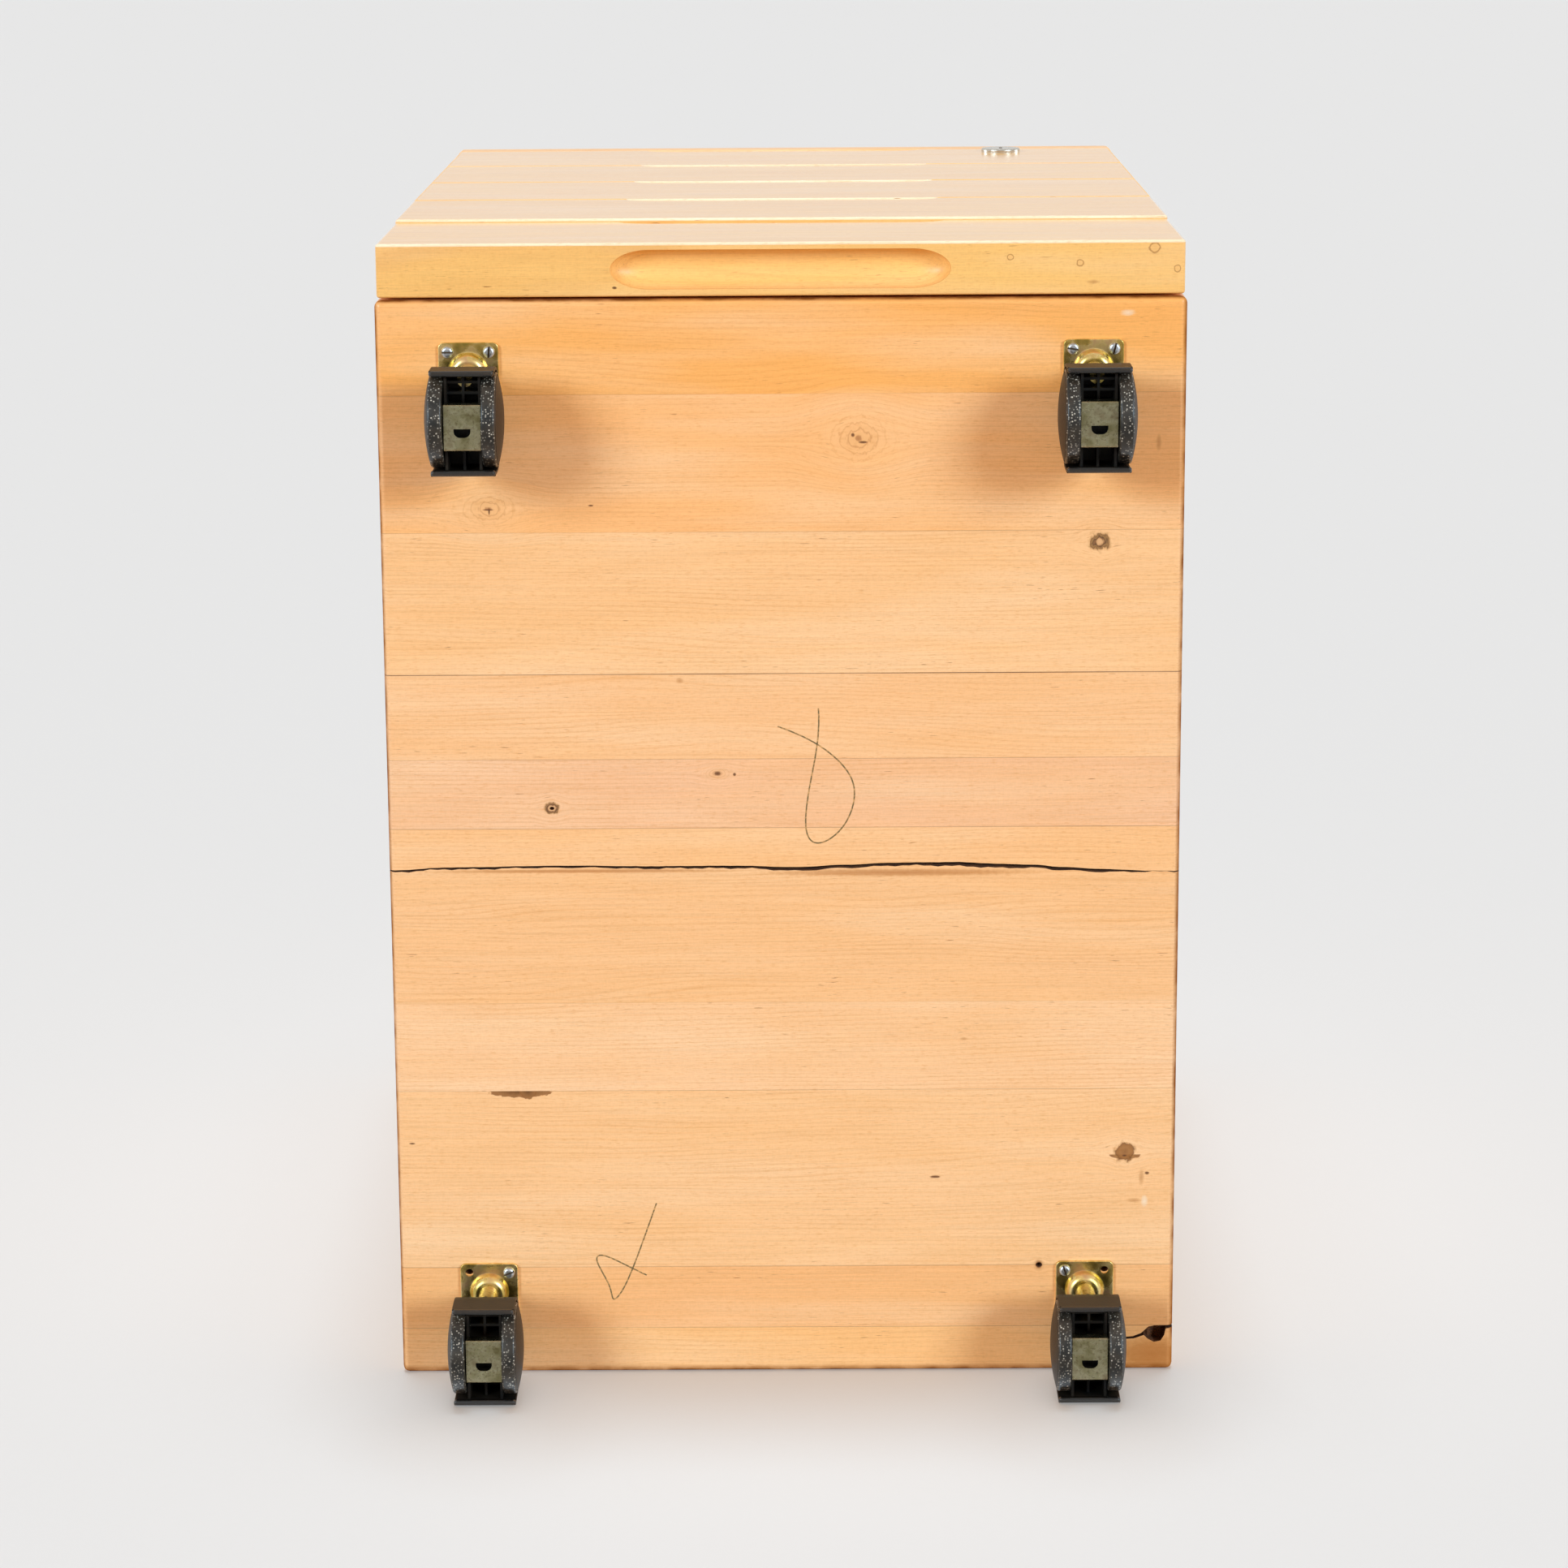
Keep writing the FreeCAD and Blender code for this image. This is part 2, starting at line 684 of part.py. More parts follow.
def collect_nodes():
    """Every named piece of the unit in its place."""
    nodes = {
        "bottom_board": bottom_board(),
        "top_board": top_board(),
        "right_side": right_side(),
        "back_panel": back_panel(),
        "drawer_runners": drawer_runners(),
        "wood_screws": wood_screws(),
        "lock_cylinder": lock_cylinder(),
        "lock_nut": lock_nut(),
        "lock_plug": lock_plug(),
        "lock_cam": lock_cam(),
    }
    nodes["left_side"] = mirror_x(nodes["right_side"])
    for number in range(1, drawer_count + 1):
        drawer_pieces = {
            "front": drawer_front(number),
            "right_side": drawer_side(number),
            "left_side": mirror_x(drawer_side(number)),
            "back": drawer_back(number),
            "bottom": drawer_bottom(number),
        }
        for piece, shape in drawer_pieces.items():
            shape.translate(Vector(0, set_back(number), 0))
            nodes[f"drawer_{number}_{piece}"] = shape
    right_wheel = caster_wheel()
    caster_pieces = {
        "plate": caster_plate(),
        "hood": caster_hood(),
        "clip": caster_clip(),
        "axle": caster_axle(),
        "wheel_right": right_wheel,
        "wheel_left": mirror_x(right_wheel),
    }
    for place, (x, y) in caster_places.items():
        for piece, shape in caster_pieces.items():
            moved = shape.copy()
            moved.translate(Vector(x, y, 0))
            nodes[f"caster_{place}_{piece}"] = moved
    return nodes


os.makedirs("parts", exist_ok=True)
for node_name, node_shape in collect_nodes().items():
    node_shape.exportStep(f"parts/{node_name}.step")
    print(node_name, len(node_shape.Solids), round(node_shape.Volume), node_shape.isValid())
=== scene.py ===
import json
import math

import bmesh
import bpy
from mathutils import Matrix, Vector

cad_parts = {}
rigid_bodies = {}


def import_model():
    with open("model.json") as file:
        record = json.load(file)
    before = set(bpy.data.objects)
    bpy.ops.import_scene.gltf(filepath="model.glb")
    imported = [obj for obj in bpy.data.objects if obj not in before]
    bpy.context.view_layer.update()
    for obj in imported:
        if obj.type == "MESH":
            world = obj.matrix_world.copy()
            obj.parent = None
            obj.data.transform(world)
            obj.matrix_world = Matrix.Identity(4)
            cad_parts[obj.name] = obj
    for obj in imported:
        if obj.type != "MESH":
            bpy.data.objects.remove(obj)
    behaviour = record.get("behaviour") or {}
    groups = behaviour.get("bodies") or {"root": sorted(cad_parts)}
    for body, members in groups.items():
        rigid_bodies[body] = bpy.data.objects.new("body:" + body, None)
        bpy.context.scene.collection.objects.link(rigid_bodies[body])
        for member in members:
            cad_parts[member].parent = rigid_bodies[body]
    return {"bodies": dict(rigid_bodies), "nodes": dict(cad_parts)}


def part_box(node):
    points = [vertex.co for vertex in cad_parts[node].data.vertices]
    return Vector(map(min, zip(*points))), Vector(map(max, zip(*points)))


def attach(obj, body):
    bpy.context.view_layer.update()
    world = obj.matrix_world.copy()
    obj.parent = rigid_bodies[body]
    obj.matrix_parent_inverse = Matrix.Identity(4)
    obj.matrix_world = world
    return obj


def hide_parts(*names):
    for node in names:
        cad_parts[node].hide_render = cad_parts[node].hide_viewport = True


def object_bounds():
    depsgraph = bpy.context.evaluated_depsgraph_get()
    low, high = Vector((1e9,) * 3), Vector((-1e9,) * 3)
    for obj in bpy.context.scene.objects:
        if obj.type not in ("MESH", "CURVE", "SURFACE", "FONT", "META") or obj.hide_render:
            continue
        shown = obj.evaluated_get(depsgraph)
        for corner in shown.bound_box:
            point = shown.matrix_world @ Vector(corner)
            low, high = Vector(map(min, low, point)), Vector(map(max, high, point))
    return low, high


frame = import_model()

bl_info = {
    "name": "Rolling drawer pedestal",
    "version": (1, 0, 0),
    "blender": (4, 5, 0),
    "location": "View3D > Sidebar > Pedestal",
    "description": "Dresses a wooden drawer pedestal on casters around its fixed construction",
    "category": "Object",
}

MM = 0.001
WELD = 0.0005 * MM
CREASE = math.radians(32)
# The most finishes that one piece has.
MOST_FINISHES = 3
cad_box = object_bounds()
BOARD_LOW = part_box("bottom_board")[0]
DRAWERS = sorted(name for name in frame["bodies"] if name.startswith("drawer_"))
CASTERS = ("front_left", "front_right", "rear_left", "rear_right")
# The outer front hole of each rear caster's plate has lost its screw.
EMPTY_HOLES = {("rear_left", -1, -1), ("rear_right", 1, -1)}


def from_hex(code):
    """Linear colour of an sRGB code such as F2BF8C."""
    shares = [int(code[start:start + 2], 16) / 255 for start in (0, 2, 4)]
    linear = [share / 12.92 if share <= 0.04045 else ((share + 0.055) / 1.055) ** 2.4 for share in shares]
    return (*linear, 1.0)


def length(name, description, millimetres):
    """A size property, given in millimetres and held in metres."""
    return bpy.props.FloatProperty(
        name=name, description=description, default=millimetres * MM, unit="LENGTH", precision=4)


def colour(name, description, code):
    """A colour property, given as an sRGB code."""
    return bpy.props.FloatVectorProperty(
        name=name, description=description, default=from_hex(code), size=4, min=0.0, max=1.0,
        subtype="COLOR")


def number(name, description, default):
    """A plain number property."""
    return bpy.props.FloatProperty(name=name, description=description, default=default)


class PedestalSizes(bpy.types.PropertyGroup):
    """Sizes that show, over those that the construction fixes."""

    board_easing: length("Board easing", "Radius on the outer edges of the carcass boards", 3.5)
    front_easing: length("Front easing", "Radius on the edges of the drawer fronts", 1.5)
    tongue_thickness: length("Tongue thickness", "Thickness of the tongues on the side boards", 8.0)
    tongue_length: length("Tongue length", "How far the tongues reach into the boards", 7.0)
    scoop_length: length("Scoop length", "Length of the finger scoop in a front's lower edge", 180.0)
    scoop_width: length("Scoop width", "Width of the finger scoop across the edge", 21.0)
    scoop_run_out: length("Scoop run-out", "Length over which a scoop's ends round off", 21.0)
    relief_height: length("Relief height", "Height of the finger relief in a front's top edge", 12.0)
    split_depth: length("Split depth", "Depth of the long split in the bottom board", 6.0)
    pencil_line: length("Pencil line", "Width of the pencil lines", 0.8)
    stave_width: length("Stave width", "Usual width of the glued staves", 62.0)
    glue_line: length("Glue line", "Width of the joint between two staves", 0.5)
    ring_spacing: length("Ring spacing", "Spacing of the growth lines on a face", 2.6)
    fibre_width: length("Fibre width", "Width of the fine fibres", 0.8)
    plate_thickness: length("Plate thickness", "Sheet thickness of the caster plates", 1.8)
    plate_corner: length("Plate corner", "Corner radius of the caster plates", 3.0)
    plate_rim: length("Plate rim", "Rounding of the plates' pressed edges", 0.4)
    plate_hole: length("Plate hole", "Radius of the screw holes", 2.2)
    dome_radius: length("Dome radius", "Outer radius of the pressed dome", 10.4)
    dome_crown: length("Dome crown", "Radius of the flat crown of the dome", 6.0)
    dome_height: length("Dome height", "How far the dome stands off the plate", 5.5)
    stem_radius: length("Stem radius", "Radius of the swivel stem", 4.0)
    stem_clearance: length("Stem clearance", "Room round the stem", 0.05)
    neck_radius: length("Neck radius", "Radius of the plated bush in the hood's neck", 5.4)
    screw_spacing: length("Screw spacing", "Spacing of a plate's screw holes", 22.0)
    screw_length: length("Screw length", "Length of a screw below its head", 14.0)
    screw_radius: length("Screw radius", "Radius of a screw's shank", 1.7)
    screw_head: length("Screw head", "Radius of a screw's pan head", 3.2)
    screw_head_height: length("Head height", "Height of a screw's head", 2.2)
    screw_head_rim: length("Head rim", "Upright rim of a screw's head", 0.6)
    screw_slot: length("Screw slot", "Width of a screw's driver slot", 1.0)
    screw_slot_depth: length("Slot depth", "Depth of a screw's driver slot", 0.9)
    runner_screw_inset: length("Runner screws", "Distance of the screws from a runner's ends", 60.0)
    tread_width: length("Tread width", "Width of a wheel's tread", 7.5)
    tread_easing: length("Tread easing", "Radius on the edges of the tread", 1.2)
    tread_crown: length("Tread crown", "How much lower the tread is at its edges", 0.15)
    wheel_groove: length("Parting groove", "Width of the groove between tread and cover", 0.5)
    wheel_rim: length("Wheel rim", "Depth of the wheel's rim towards the hood", 3.6)
    wheel_recess: length("Wheel recess", "Depth of the wheel's open web", 4.5)
    wheel_hub: length("Wheel hub", "Radius of the wheel's hub", 6.5)
    wheel_bore: length("Wheel bore", "Radius of the wheel's bore", 2.55)
    wheel_cover: length("Wheel cover", "Wall of the wheel's cover", 1.6)
    hood_wall: length("Hood wall", "Wall of the moulded hood", 1.7)
    hood_easing: length("Hood easing", "Radius on the hood's edges", 0.5)
    front_lip_drop: length("Front lip", "How far the hood's front lip lies below the axle", 14.5)
    rear_lip_drop: length("Rear lip", "How far the hood's rear lip lies below the axle", 15.5)
    lip_radius: length("Lip radius", "Radius of the hood's rolled lips", 1.7)
    cheek_clearance: length("Cheek clearance", "Room between the hood's cheeks and the wheels", 0.45)
    cheek_thickness: length("Cheek thickness", "Thickness of the hood's cheeks", 1.4)
    cheek_drop: length("Cheek drop", "How far the cheeks reach below the axle", 10.0)
    web_rise: length("Web rise", "How far the hood's solid web lies above the axle", 8.0)
    rib_thickness: length("Rib thickness", "Thickness of the hood's ribs", 1.4)
    rib_drop: length("Rib drop", "How far the ribs reach below the axle", 4.0)
    clip_sheet: length("Clip sheet", "Sheet thickness of the axle clip", 1.2)
    clip_slot_width: length("Clip slot width", "Width of the clip's slot", 8.8)
    clip_slot_length: length("Clip slot length", "Length of the clip's slot", 4.6)
    clip_slot_corner: length("Clip slot corner", "Radius of the slot's rear corners", 3.4)
    clip_slot_start: length("Clip slot start", "Where the slot starts behind the clip's middle", 0.5)
    slot_pocket: length("Slot pocket", "Depth of the pocket behind the clip's slot", 8.0)


class PedestalFinish(bpy.types.PropertyGroup):
    """Colours of the pedestal's materials and its floor."""

    wood_deep: colour("Deep wood", "Warmer patches in a stave", "F4B672")
    wood_pale: colour("Pale wood", "Paler patches in a stave", "FFDCB4")
    wood_line: colour("Growth line", "Latewood lines", "D89044")
    # The fleck colour also paints the shade on the bottom board's rounded edges.
    wood_fleck: colour("Fleck", "Short dark flecks", "8E5220")
    # The torn colour also paints the contact shadow along the bottom board's rear edge.
    wood_torn: colour("Torn wood", "Inside of the split and the broken corner", "4A2A15")
    plywood: colour("Plywood", "Sanded birch faces", "EFD2A6")
    pencil: colour("Pencil", "Carpenter's pencil marks", "6F5C36")
    zinc_bright: colour("Bright zinc", "Clear passivated zinc", "C4C8CC")
    nickel: colour("Nickel", "Polished lock rosette", "D2CCC0")
    hood: colour("Hood", "Black nylon hoods", "0E0D0C")
    wheel: colour("Wheel", "Black nylon wheels", "211E1A")
    dust: colour("Dust", "Brown dust that settles on the casters", "6B543A")
    grit: colour("Grit", "Pale grit pressed into the treads", "DCD2C2")
    floor: colour("Floor", "Paper of the floor", "E7E7E7")


class PedestalStage(bpy.types.PropertyGroup):
    """Camera, lamps and floor."""

    lens: number("Lens", "Focal length in millimetres on a 36 mm sensor", 98.22)
    camera_place: bpy.props.FloatVectorProperty(
        name="Camera place", description="Where the camera stands below and in front of the unit",
        default=(0.01247, BOARD_LOW.y - 0.25906, BOARD_LOW.z - 2.25806),
        subtype="TRANSLATION", unit="LENGTH")
    camera_tilt: bpy.props.FloatProperty(
        name="Camera tilt", description="How far the view leans towards the unit's back",
        default=0.22715, subtype="ANGLE")
    camera_turn: bpy.props.FloatProperty(
        name="Camera turn", description="How far the view turns sideways", default=-0.00544, subtype="ANGLE")
    camera_roll: bpy.props.FloatProperty(
        name="Camera roll", description="How far the picture is turned", default=0.00642, subtype="ANGLE")
    fill: number("Fill", "Strength of the even light from all round", 0.38)
    fill_tint: colour("Fill tint", "Warm light that comes back from the surroundings", "FFBC66")
    lamp_tint: colour("Lamp tint", "Daylight of the lamps", "D4EEFF")
    floor_glow: number("Floor glow", "Share of the floor's paleness that no shadow touches", 0.35)
    floor_size: length("Floor size", "Half the width of the floor", 40000.0)


def feed(tree, made, inputs):
    """Give each named input of a node a value or a link."""
    for key, value in inputs.items():
        if isinstance(value, bpy.types.NodeSocket):
            tree.links.new(value, made.inputs[key])
        else:
            made.inputs[key].default_value = value


def node(tree, kind, inputs=None, stops=(), **settings):
    """Add one node with its settings, inputs and ramp stops, and return its outputs."""
    made = tree.nodes.new(kind)
    for key, value in settings.items():
        setattr(made, key, value)
    feed(tree, made, inputs or {})
    for index, (position, tint) in enumerate(stops):
        elements = made.color_ramp.elements
        element = elements[index] if index < 2 else elements.new(position)
        element.position = position
        element.color = tint
    return made.outputs


def new_material(name):
    """An empty material with its node tree, its Object coordinates and its surface shader."""
    material = bpy.data.materials.new(name)
    material.use_nodes = True
    tree = material.node_tree
    tree.nodes.clear()
    spot = node(tree, "ShaderNodeTexCoord")["Object"]
    shader = node(tree, "ShaderNodeBsdfPrincipled", name="surface")["BSDF"]
    node(tree, "ShaderNodeOutputMaterial", {"Surface": shader})
    return material, tree, spot, tree.nodes["surface"]


# How each kind of mark in the wood looks, from its middle outwards: reach, sRGB code and strength.
MARKS = {
    "sound_knot": (
        (0.0, "9A5A28", 0.7), (0.1, "9A5A28", 0.6), (0.17, "E6AA6A", 0.45), (0.4, "E9AE6E", 0.4),
        (0.46, "B06C2E", 0.5), (0.53, "E9AE6E", 0.35), (0.72, "EBB274", 0.3), (0.78, "BE7A36", 0.4),
        (0.85, "EFB87E", 0.2), (1.08, "F2BE84", 0.12), (1.14, "CC8840", 0.28), (1.22, "F4C48C", 0.06),
        (1.5, "F4C48C", 0.04), (1.56, "D8984F", 0.14), (1.64, "F4C48C", 0.0)),
    "open_knot": (
        (0.0, "2A160B", 1.0), (0.5, "3A2010", 1.0), (0.72, "6B3D1E", 0.9), (0.95, "A86B38", 0.7),
        (1.25, "C88C58", 0.35), (1.9, "D9A468", 0.0)),
    "loose_knot": (
        (0.0, "D9A878", 0.7), (0.34, "CE9A68", 0.75), (0.5, "7A4C26", 0.9), (0.6, "4A2A12", 0.95),
        (0.72, "8A6030", 0.85), (0.86, "6E4820", 0.9), (1.0, "B07C42", 0.5), (1.3, "E0AC70", 0.0)),
    "grown_knot": (
        (0.0, "8E5A2C", 0.95), (0.5, "A06A36", 0.95), (0.82, "96602E", 0.95), (0.94, "70451E", 0.9),
        (1.08, "B67E46", 0.4), (1.3, "D9A468", 0.0)),
    "fleck": ((0.0, "4A2812", 0.95), (0.6, "6E4020", 0.85), (1.0, "A5683A", 0.0)),
    "bark": (
        (0.0, "5E3818", 1.0), (0.3, "7A4E26", 1.0), (0.8, "946234", 0.95), (0.98, "8A5628", 0.9),
        (1.06, "B87C44", 0.0)),
    "ring_stain": (
        (0.0, "E0A45E", 0.25), (0.6, "E0A45E", 0.2), (0.74, "9A5E28", 0.65), (0.88, "9A5E28", 0.6),
        (1.02, "C08848", 0.0)),
    "scuff": ((0.0, "FBF0DE", 0.55), (0.6, "F6E4C8", 0.4), (1.0, "F6E4C8", 0.0)),
    "bruise": ((0.0, "C98038", 0.85), (0.6, "CE873F", 0.75), (0.9, "D9964E", 0.5), (1.15, "E0A660", 0.0)),
    "torn_lip": ((0.0, "B06A2C", 0.75), (0.6, "BC7838", 0.6), (0.85, "CC8C4C", 0.35), (1.1, "DCA060", 0.0)),
    "streak": ((0.0, "B5763F", 0.6), (0.5, "BE8148", 0.45), (1.0, "D29A60", 0.0)),
}
# The ramps of all marks end at this reach.
MARK_REACH = 2.0
# A mark of this kind stops short at the glue line that runs through its centre.
ONE_SIDED = "bark"
# How far a mark's outline wavers, as a share of its reach.
WAVER = {"loose_knot": 0.26, "open_knot": 0.2, "grown_knot": 0.22}
PLAIN_WAVER = 0.1
# By what share of its distance the middle of a knot pushes the grain aside, and up to how many reaches out.
KNOT_PUSH = 0.8
KNOT_PUSH_END = 3.6
# How far apart in the log, in metres, two neighbouring staves are cut.
LOG_STEP = 5.37


def push_aside(tree, spot, across, marks):
    """Places in the grain, which every knot pushes aside, and the kind and reach of every mark."""
    across_only = tuple(float(letter == across) for letter in "XYZ")
    bent = spot
    reaches = []
    for kind, centre, radii in marks:
        offset = node(tree, "ShaderNodeVectorMath", {0: spot, 1: centre}, operation="SUBTRACT")[0]
        scaled = node(tree, "ShaderNodeVectorMath", {0: offset, 1: radii}, operation="DIVIDE")[0]
        reach = node(tree, "ShaderNodeVectorMath", {0: scaled}, operation="LENGTH")["Value"]
        if kind == ONE_SIDED:
            back = node(tree, "ShaderNodeSeparateXYZ", {"Vector": offset})[across]
            beyond = node(tree, "ShaderNodeMath", {0: back, 1: 0.0}, operation="LESS_THAN")[0]
            reach = node(tree, "ShaderNodeMath", {0: beyond, 1: 2 * MARK_REACH, 2: reach},
                         operation="MULTIPLY_ADD")[0]
        reaches.append((kind, reach))
        if not kind.endswith("knot"):
            continue
        push = node(tree, "ShaderNodeMapRange",
                    {"Value": reach, "From Max": KNOT_PUSH_END, "To Min": KNOT_PUSH, "To Max": 0.0},
                    interpolation_type="SMOOTHSTEP")["Result"]
        aside = node(tree, "ShaderNodeVectorMath", {0: offset, 1: across_only}, operation="MULTIPLY")[0]
        pushed = node(tree, "ShaderNodeVectorMath", {0: aside, "Scale": push}, operation="SCALE")[0]
        bent = node(tree, "ShaderNodeVectorMath", {0: bent, 1: pushed}, operation="SUBTRACT")[0]
    return bent, reaches


def glue_up(tree, place, staves):
    """Tone of the stave at a place across the board, its number from the first one, and the glue lines."""
    half_line = bpy.context.scene.pedestal_sizes.glue_line / 2
    tint = from_hex(staves[0][1])
    count = 0.0
    seam = 0.0
    for start, code, glue in staves[1:]:
        past = node(tree, "ShaderNodeMath", {0: place, 1: start}, operation="GREATER_THAN")[0]
        tint = node(tree, "ShaderNodeMixRGB", {
            "Fac": past, "Color1": tint, "Color2": from_hex(code)})["Color"]
        count = node(tree, "ShaderNodeMath", {0: count, 1: past}, operation="ADD")[0]
        line = node(tree, "ShaderNodeMath", {0: place, 1: start, 2: half_line}, operation="COMPARE")[0]
        seam = node(tree, "ShaderNodeMath", {0: line, 1: glue, 2: seam}, operation="MULTIPLY_ADD")[0]
    return tint, count, seam


def lay_marks(tree, tint, ragged, reaches):
    """The wood's tint with its marks, whose ramps give their colour and how strongly they cover the wood."""
    for kind, reach in reaches:
        waver = WAVER.get(kind, PLAIN_WAVER)
        rough = node(tree, "ShaderNodeMapRange", {
            "Value": ragged, "From Min": 0.3, "From Max": 0.7, "To Min": -waver, "To Max": waver})["Result"]
        uneven = node(tree, "ShaderNodeMath", {0: reach, 1: rough}, operation="ADD")[0]
        outwards = node(tree, "ShaderNodeMath", {0: uneven, 1: 1 / MARK_REACH}, operation="MULTIPLY")[0]
        stops = [(at / MARK_REACH, (*from_hex(code)[:3], strength)) for at, code, strength in MARKS[kind]]
        mark = node(tree, "ShaderNodeValToRGB", {"Fac": outwards}, stops)
        tint = node(tree, "ShaderNodeMixRGB", {
            "Fac": mark["Alpha"], "Color1": tint, "Color2": mark["Color"]})["Color"]
    return tint


def wood(name, axes, staves, marks=(), gloss=(0.36, 0.5)):
    """Solid maple, planed, glued up from staves and lacquered.

    The eye sees pale warm staves of slightly different tone, thin growth lines that come and go,
    fine fibres, short dark flecks and a satin surface. The axes name the directions along the grain,
    across it and through the board. Staves are (start, sRGB code, darkness of the glue line before it),
    marks (kind, centre, radii).
    """
    sizes = bpy.context.scene.pedestal_sizes
    finish = bpy.context.scene.pedestal_finish
    material, tree, spot, surface = new_material(name)
    bent, reaches = push_aside(tree, spot, axes[1], marks)
    place = node(tree, "ShaderNodeSeparateXYZ", {"Vector": spot})[axes[1]]
    tint, count, seam = glue_up(tree, place, staves)

    # Every stave is cut from another place of the log.
    apart = node(tree, "ShaderNodeMath", {0: count, 1: LOG_STEP, 2: staves[0][0]},
                 operation="MULTIPLY_ADD")[0]
    axis = node(tree, "ShaderNodeSeparateXYZ", {"Vector": bent})
    ordered = node(tree, "ShaderNodeCombineXYZ", {to: axis[letter] for to, letter in zip("XYZ", axes)})[0]
    grain = node(tree, "ShaderNodeVectorMath", {0: ordered, 1: apart}, operation="ADD")[0]

    # Length along and width across the grain, in millimetres, and detail of each part of the figure.
    parts = {
        "drift": (380.0, 60.0, 2.0),
        "patch": (150.0, 30.0, 3.0),
        "glow": (190.0, 24.0, 2.0),
        "fade": (110.0, 14.0, 2.0),
        "fibre": (46.0, sizes.fibre_width / MM, 3.0),
        "pore": (4.0, 0.5, 1.0),
        "ray": (0.9, 2.6, 1.0),
        "fleck": (8.0, 0.6, 1.0),
        "cluster": (60.0, 22.0, 1.0),
        "ragged": (3.0, 2.0, 2.0),
    }
    figure = {}
    for part, (along, across, detail) in parts.items():
        pitch = (1 / (along * MM), 1 / (across * MM), 1 / (across * MM))
        scaled = node(tree, "ShaderNodeVectorMath", {0: grain, 1: pitch}, operation="MULTIPLY")[0]
        figure[part] = node(tree, "ShaderNodeTexNoise", {
            "Vector": scaled, "Scale": 1.0, "Detail": detail, "Roughness": 0.55})[0]

    # How strongly each part shows: the part, between which of its values it comes up, and from what to what.
    shows = {
        "lines": ("fade", 0.34, 0.7, 0.05, 0.34),
        "deep": ("patch", 0.3, 0.75, 0.0, 0.4),
        "pale": ("glow", 0.46, 0.76, 0.0, 0.36),
        "fibre_shade": ("fibre", 0.3, 0.7, 0.94, 1.05),
        "ray_shade": ("ray", 0.3, 0.7, 0.98, 1.02),
        "pores": ("pore", 0.54, 0.76, 0.0, 0.36),
        "dashes": ("fleck", 0.7, 0.79, 0.0, 1.0),
        "crowds": ("cluster", 0.46, 0.66, 0.0, 0.9),
        "glue": ("patch", 0.4, 0.62, 0.3, 1.0),
        "shine": ("fibre", 0.3, 0.7, *gloss),
    }
    shown = {}
    for look, (part, low, high, least, most) in shows.items():
        shown[look] = node(tree, "ShaderNodeMapRange", {
            "Value": figure[part], "From Min": low, "From Max": high,
            "To Min": least, "To Max": most})["Result"]

    # Thin growth lines that wander with the drift, more in some staves than in others, and fade in and out.
    chance = node(tree, "ShaderNodeMath", {0: apart}, operation="FRACT")[0]
    sway = node(tree, "ShaderNodeMapRange", {"Value": chance, "To Min": 3.0, "To Max": 20.0})["Result"]
    drifted = node(tree, "ShaderNodeMath", {0: figure["drift"], 1: sway}, operation="MULTIPLY")[0]
    phase = node(tree, "ShaderNodeMath", {0: axis[axes[1]], 1: 1 / sizes.ring_spacing, 2: drifted},
                 operation="MULTIPLY_ADD")[0]
    wrapped = node(tree, "ShaderNodeMath", {0: phase}, operation="FRACT")[0]
    levels = ((0.0, 0.05), (0.55, 0.1), (0.88, 1.0), (1.0, 0.05))
    ring = node(tree, "ShaderNodeValToRGB", {"Fac": wrapped},
                [(at, (level, level, level, 1.0)) for at, level in levels])["Color"]
    lined = node(tree, "ShaderNodeMath", {0: ring, 1: shown["lines"]}, operation="MULTIPLY")[0]
    flecked = node(tree, "ShaderNodeMath", {0: shown["dashes"], 1: shown["crowds"]}, operation="MULTIPLY")[0]
    glued = node(tree, "ShaderNodeMath", {0: shown["glue"], 1: seam}, operation="MULTIPLY")[0]

    # Colour, from the widest variation to the finest.
    wide = ((shown["deep"], finish.wood_deep), (shown["pale"], finish.wood_pale), (lined, finish.wood_line))
    fine = ((shown["pores"], finish.wood_line), (flecked, finish.wood_fleck), (glued, finish.wood_torn))
    for share, over in wide:
        tint = node(tree, "ShaderNodeMixRGB", {"Fac": share, "Color1": tint, "Color2": over})["Color"]
    for shade in (shown["fibre_shade"], shown["ray_shade"]):
        tint = node(tree, "ShaderNodeHueSaturation", {"Value": shade, "Color": tint})["Color"]
    for share, over in fine:
        tint = node(tree, "ShaderNodeMixRGB", {"Fac": share, "Color1": tint, "Color2": over})["Color"]
    tint = lay_marks(tree, tint, figure["ragged"], reaches)

    relief = node(tree, "ShaderNodeMath", {0: lined, 1: 0.5, 2: figure["fibre"]},
                  operation="MULTIPLY_ADD")[0]
    bump = node(tree, "ShaderNodeBump", {
        "Strength": 0.16, "Distance": 0.12 * MM, "Height": relief})["Normal"]
    feed(tree, surface, {"Base Color": tint, "Roughness": shown["shine"], "Normal": bump, "IOR": 1.5})
    return material


def stave_row(low, high, codes):
    """Starts of uneven staves between two edges, with tones taken in turn and plain joints."""
    width = bpy.context.scene.pedestal_sizes.stave_width
    shares = (0.9, 1.2, 0.75, 1.05, 1.3)
    joint = 0.35
    row = []
    start = low
    while start < high:
        row.append((start, codes[len(row) % len(codes)], joint))
        start += width * shares[len(row) % len(shares)]
    return row


